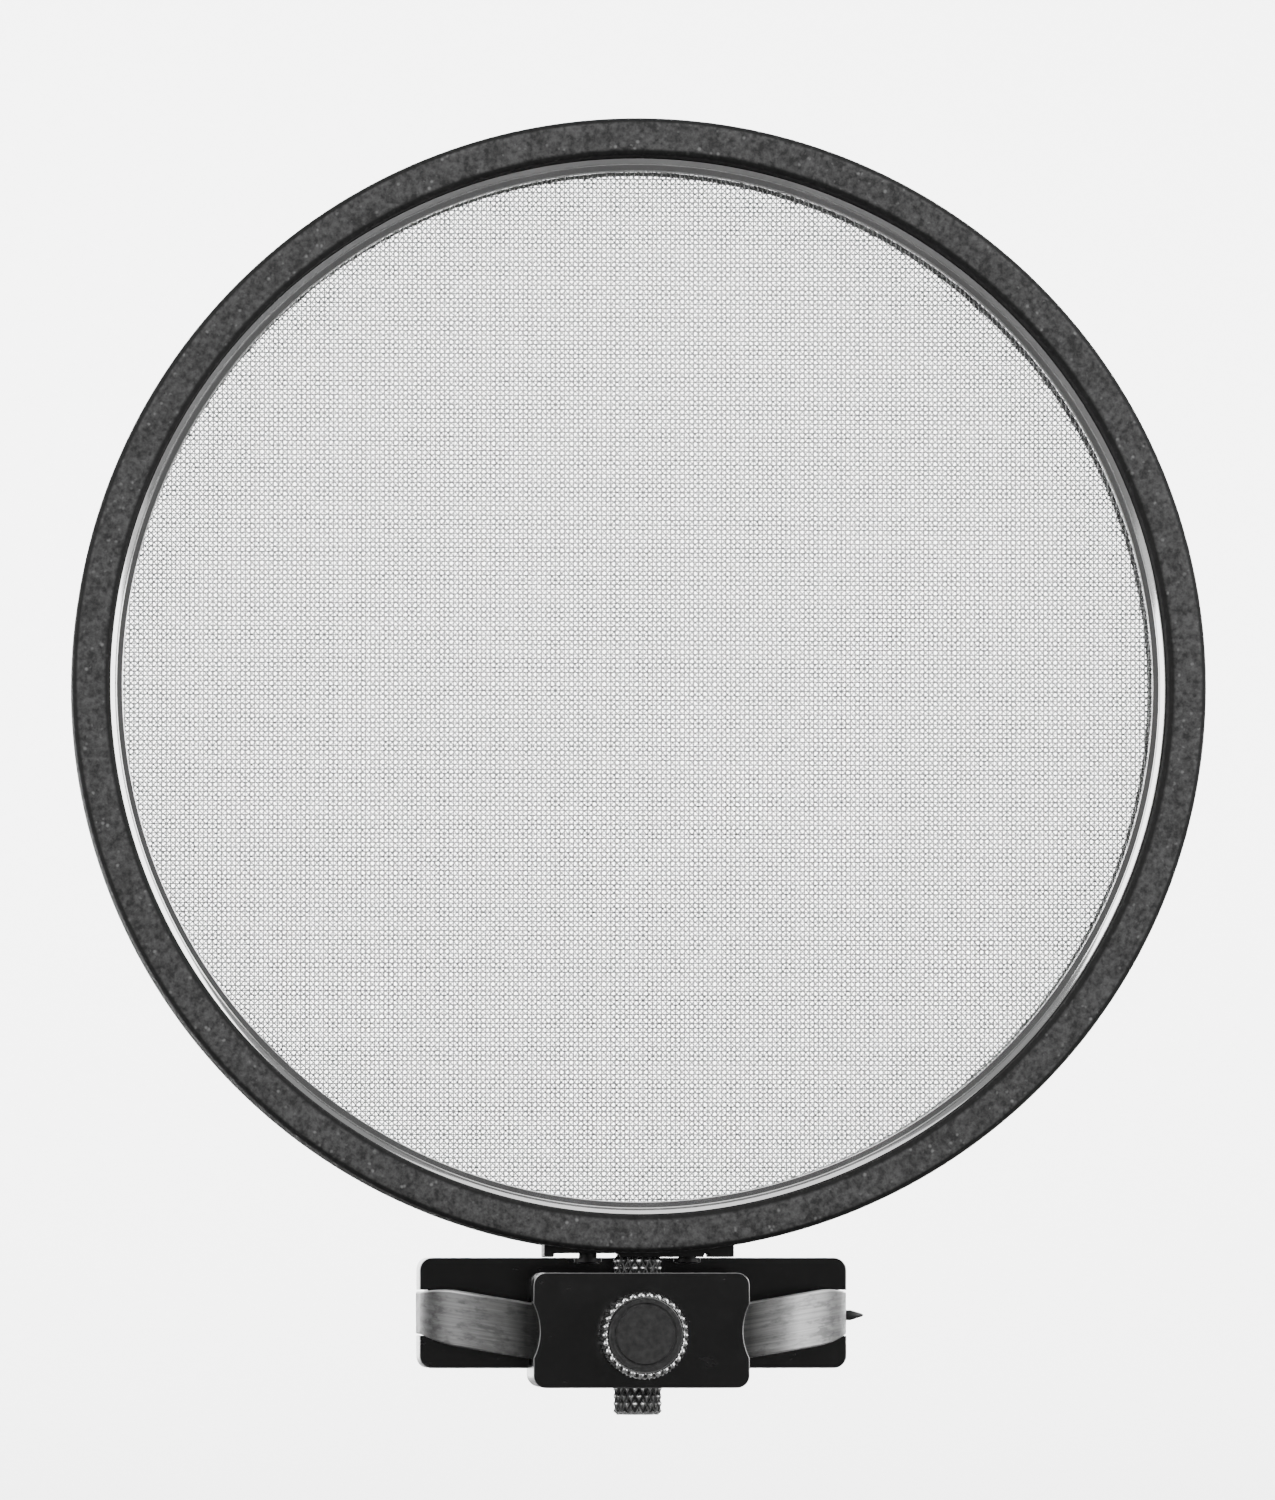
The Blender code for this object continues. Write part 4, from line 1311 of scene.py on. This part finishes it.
def area_light(name, place, aim, size, power, spread=180.0):
    light = bpy.data.lights.new(name, "AREA")
    light.shape = "RECTANGLE"
    light.size = size[0]
    light.size_y = size[1]
    light.energy = power
    light.spread = math.radians(spread)
    obj = linked(name, light)
    obj.location = place
    obj.rotation_euler = (Vector(aim) - Vector(place)).to_track_quat("-Z", "Y").to_euler()
    obj.visible_camera = False
    return obj


WORLD_FRONT = 0.12
WORLD_ROUND = 0.30
WORLD_BACK = 0.30


def build_light():
    """Tall softboxes left and right, a weak one overhead, and a lit sweep behind a dim room."""
    world = bpy.data.worlds.new("studio")
    bpy.context.scene.world = world
    world.use_nodes = True
    tree = world.node_tree
    back = tree.nodes["Background"]
    place = tree.nodes.new("ShaderNodeTexCoord")
    split = tree.nodes.new("ShaderNodeSeparateXYZ")
    tree.links.new(place.outputs["Generated"], split.inputs[0])
    depth = split.outputs["Y"]
    near = map_range(tree, depth, -0.98, -0.5, WORLD_FRONT, WORLD_ROUND, "SMOOTHSTEP")
    far = map_range(tree, depth, 0.2, 0.9, 0.0, WORLD_BACK, "SMOOTHSTEP")
    total = tree.nodes.new("ShaderNodeMath")
    tree.links.new(near, total.inputs[0])
    tree.links.new(far, total.inputs[1])
    tree.links.new(total.outputs[0], back.inputs["Strength"])
    back.inputs["Color"].default_value = (1.0, 1.0, 1.0, 1.0)
    area_light("softbox_left", (-0.98, -0.34, 0.15), RING, (1.0, 1.1), 14)
    area_light("softbox_right", (0.94, -0.42, 0.15), RING, (1.1, 1.1), 17)
    area_light("softbox_top", (0.0, -0.62, 0.95), RING, (0.9, 0.9), 2.7)
    area_light("rear_fill", (0.45, 0.85, 0.55), (0.0, 0.0, 0.0), (0.7, 0.7), 5)
    area_light("backdrop_wash", (0.0, 0.9, 1.2), (0.0, 2.0, 0.0), (2.4, 0.4), 150, 110.0)


CAMERA_DISTANCE = 0.95
CAMERA_AZIMUTH = math.radians(-3.5)
CAMERA_HEIGHT = 4 * MM
CAMERA_LENS = 310.0


def build_camera():
    """A long lens, level with the clamp and a little left of square."""
    camera = bpy.data.cameras.new("camera")
    obj = linked("camera", camera)
    low, high = (Vector(corner) for corner in CAD_BOX)
    aim = Vector((0.0, POST.y, (low.z + high.z) / 2 + 1.5 * MM))
    obj.location = (
        aim.x + CAMERA_DISTANCE * math.sin(CAMERA_AZIMUTH),
        aim.y - CAMERA_DISTANCE * math.cos(CAMERA_AZIMUTH),
        CAMERA_HEIGHT,
    )
    obj.rotation_euler = (aim - obj.location).to_track_quat("-Z", "Y").to_euler()
    camera.sensor_fit = "HORIZONTAL"
    camera.sensor_width = 36.0
    camera.lens = CAMERA_LENS
    camera.clip_start = 0.01
    camera.clip_end = 20.0
    bpy.context.scene.camera = obj


def main():
    build_camera()
    build_light()
    build_stage()
    build_card()

    chrome = polished("polished_steel", 0.95, (0.05, 0.13))
    zinc = polished("zinc_screw", 0.72, (0.16, 0.3))
    wire = wire_metal()
    nickel = knurled("knurled_nickel")
    soft = soft_rubber()
    painted = black_steel()
    sleeve = nylon()
    brass = turned_brass()

    build_trim(rim_rubber())
    build_hoop("front_hoop", 1, chrome)
    build_hoop("rear_hoop", -1, chrome)
    build_spacer(polished("spacer_steel", 0.6, (0.25, 0.4)))
    build_weave("front_mesh", 0.0, 11, wire)
    build_weave("rear_mesh", 45.0, 12, wire)
    build_foot(painted)
    build_foot_screws(painted)
    build_post(nickel)

    build_plate(black_plastic("plate_plastic", PLATE_LOW, PLATE_HIGH, 0.5, 0.2, 0.5))
    build_block(black_plastic("block_plastic", BLOCK_LOW, BLOCK_HIGH, 0.25, 1.0, 1.0))
    build_pads(soft)
    build_block_screws(zinc)
    build_pins(polished("pin_steel", 0.55, (0.28, 0.42)))
    build_strap(brushed_strap(), soft)
    build_hook(painted)
    build_bush(sleeve)

    build_insert(brass)
    build_washer(sleeve)
    build_knob(nickel)
    build_face(knob_disc())
    build_shaft(zinc)
    build_shoe(brass)


main()
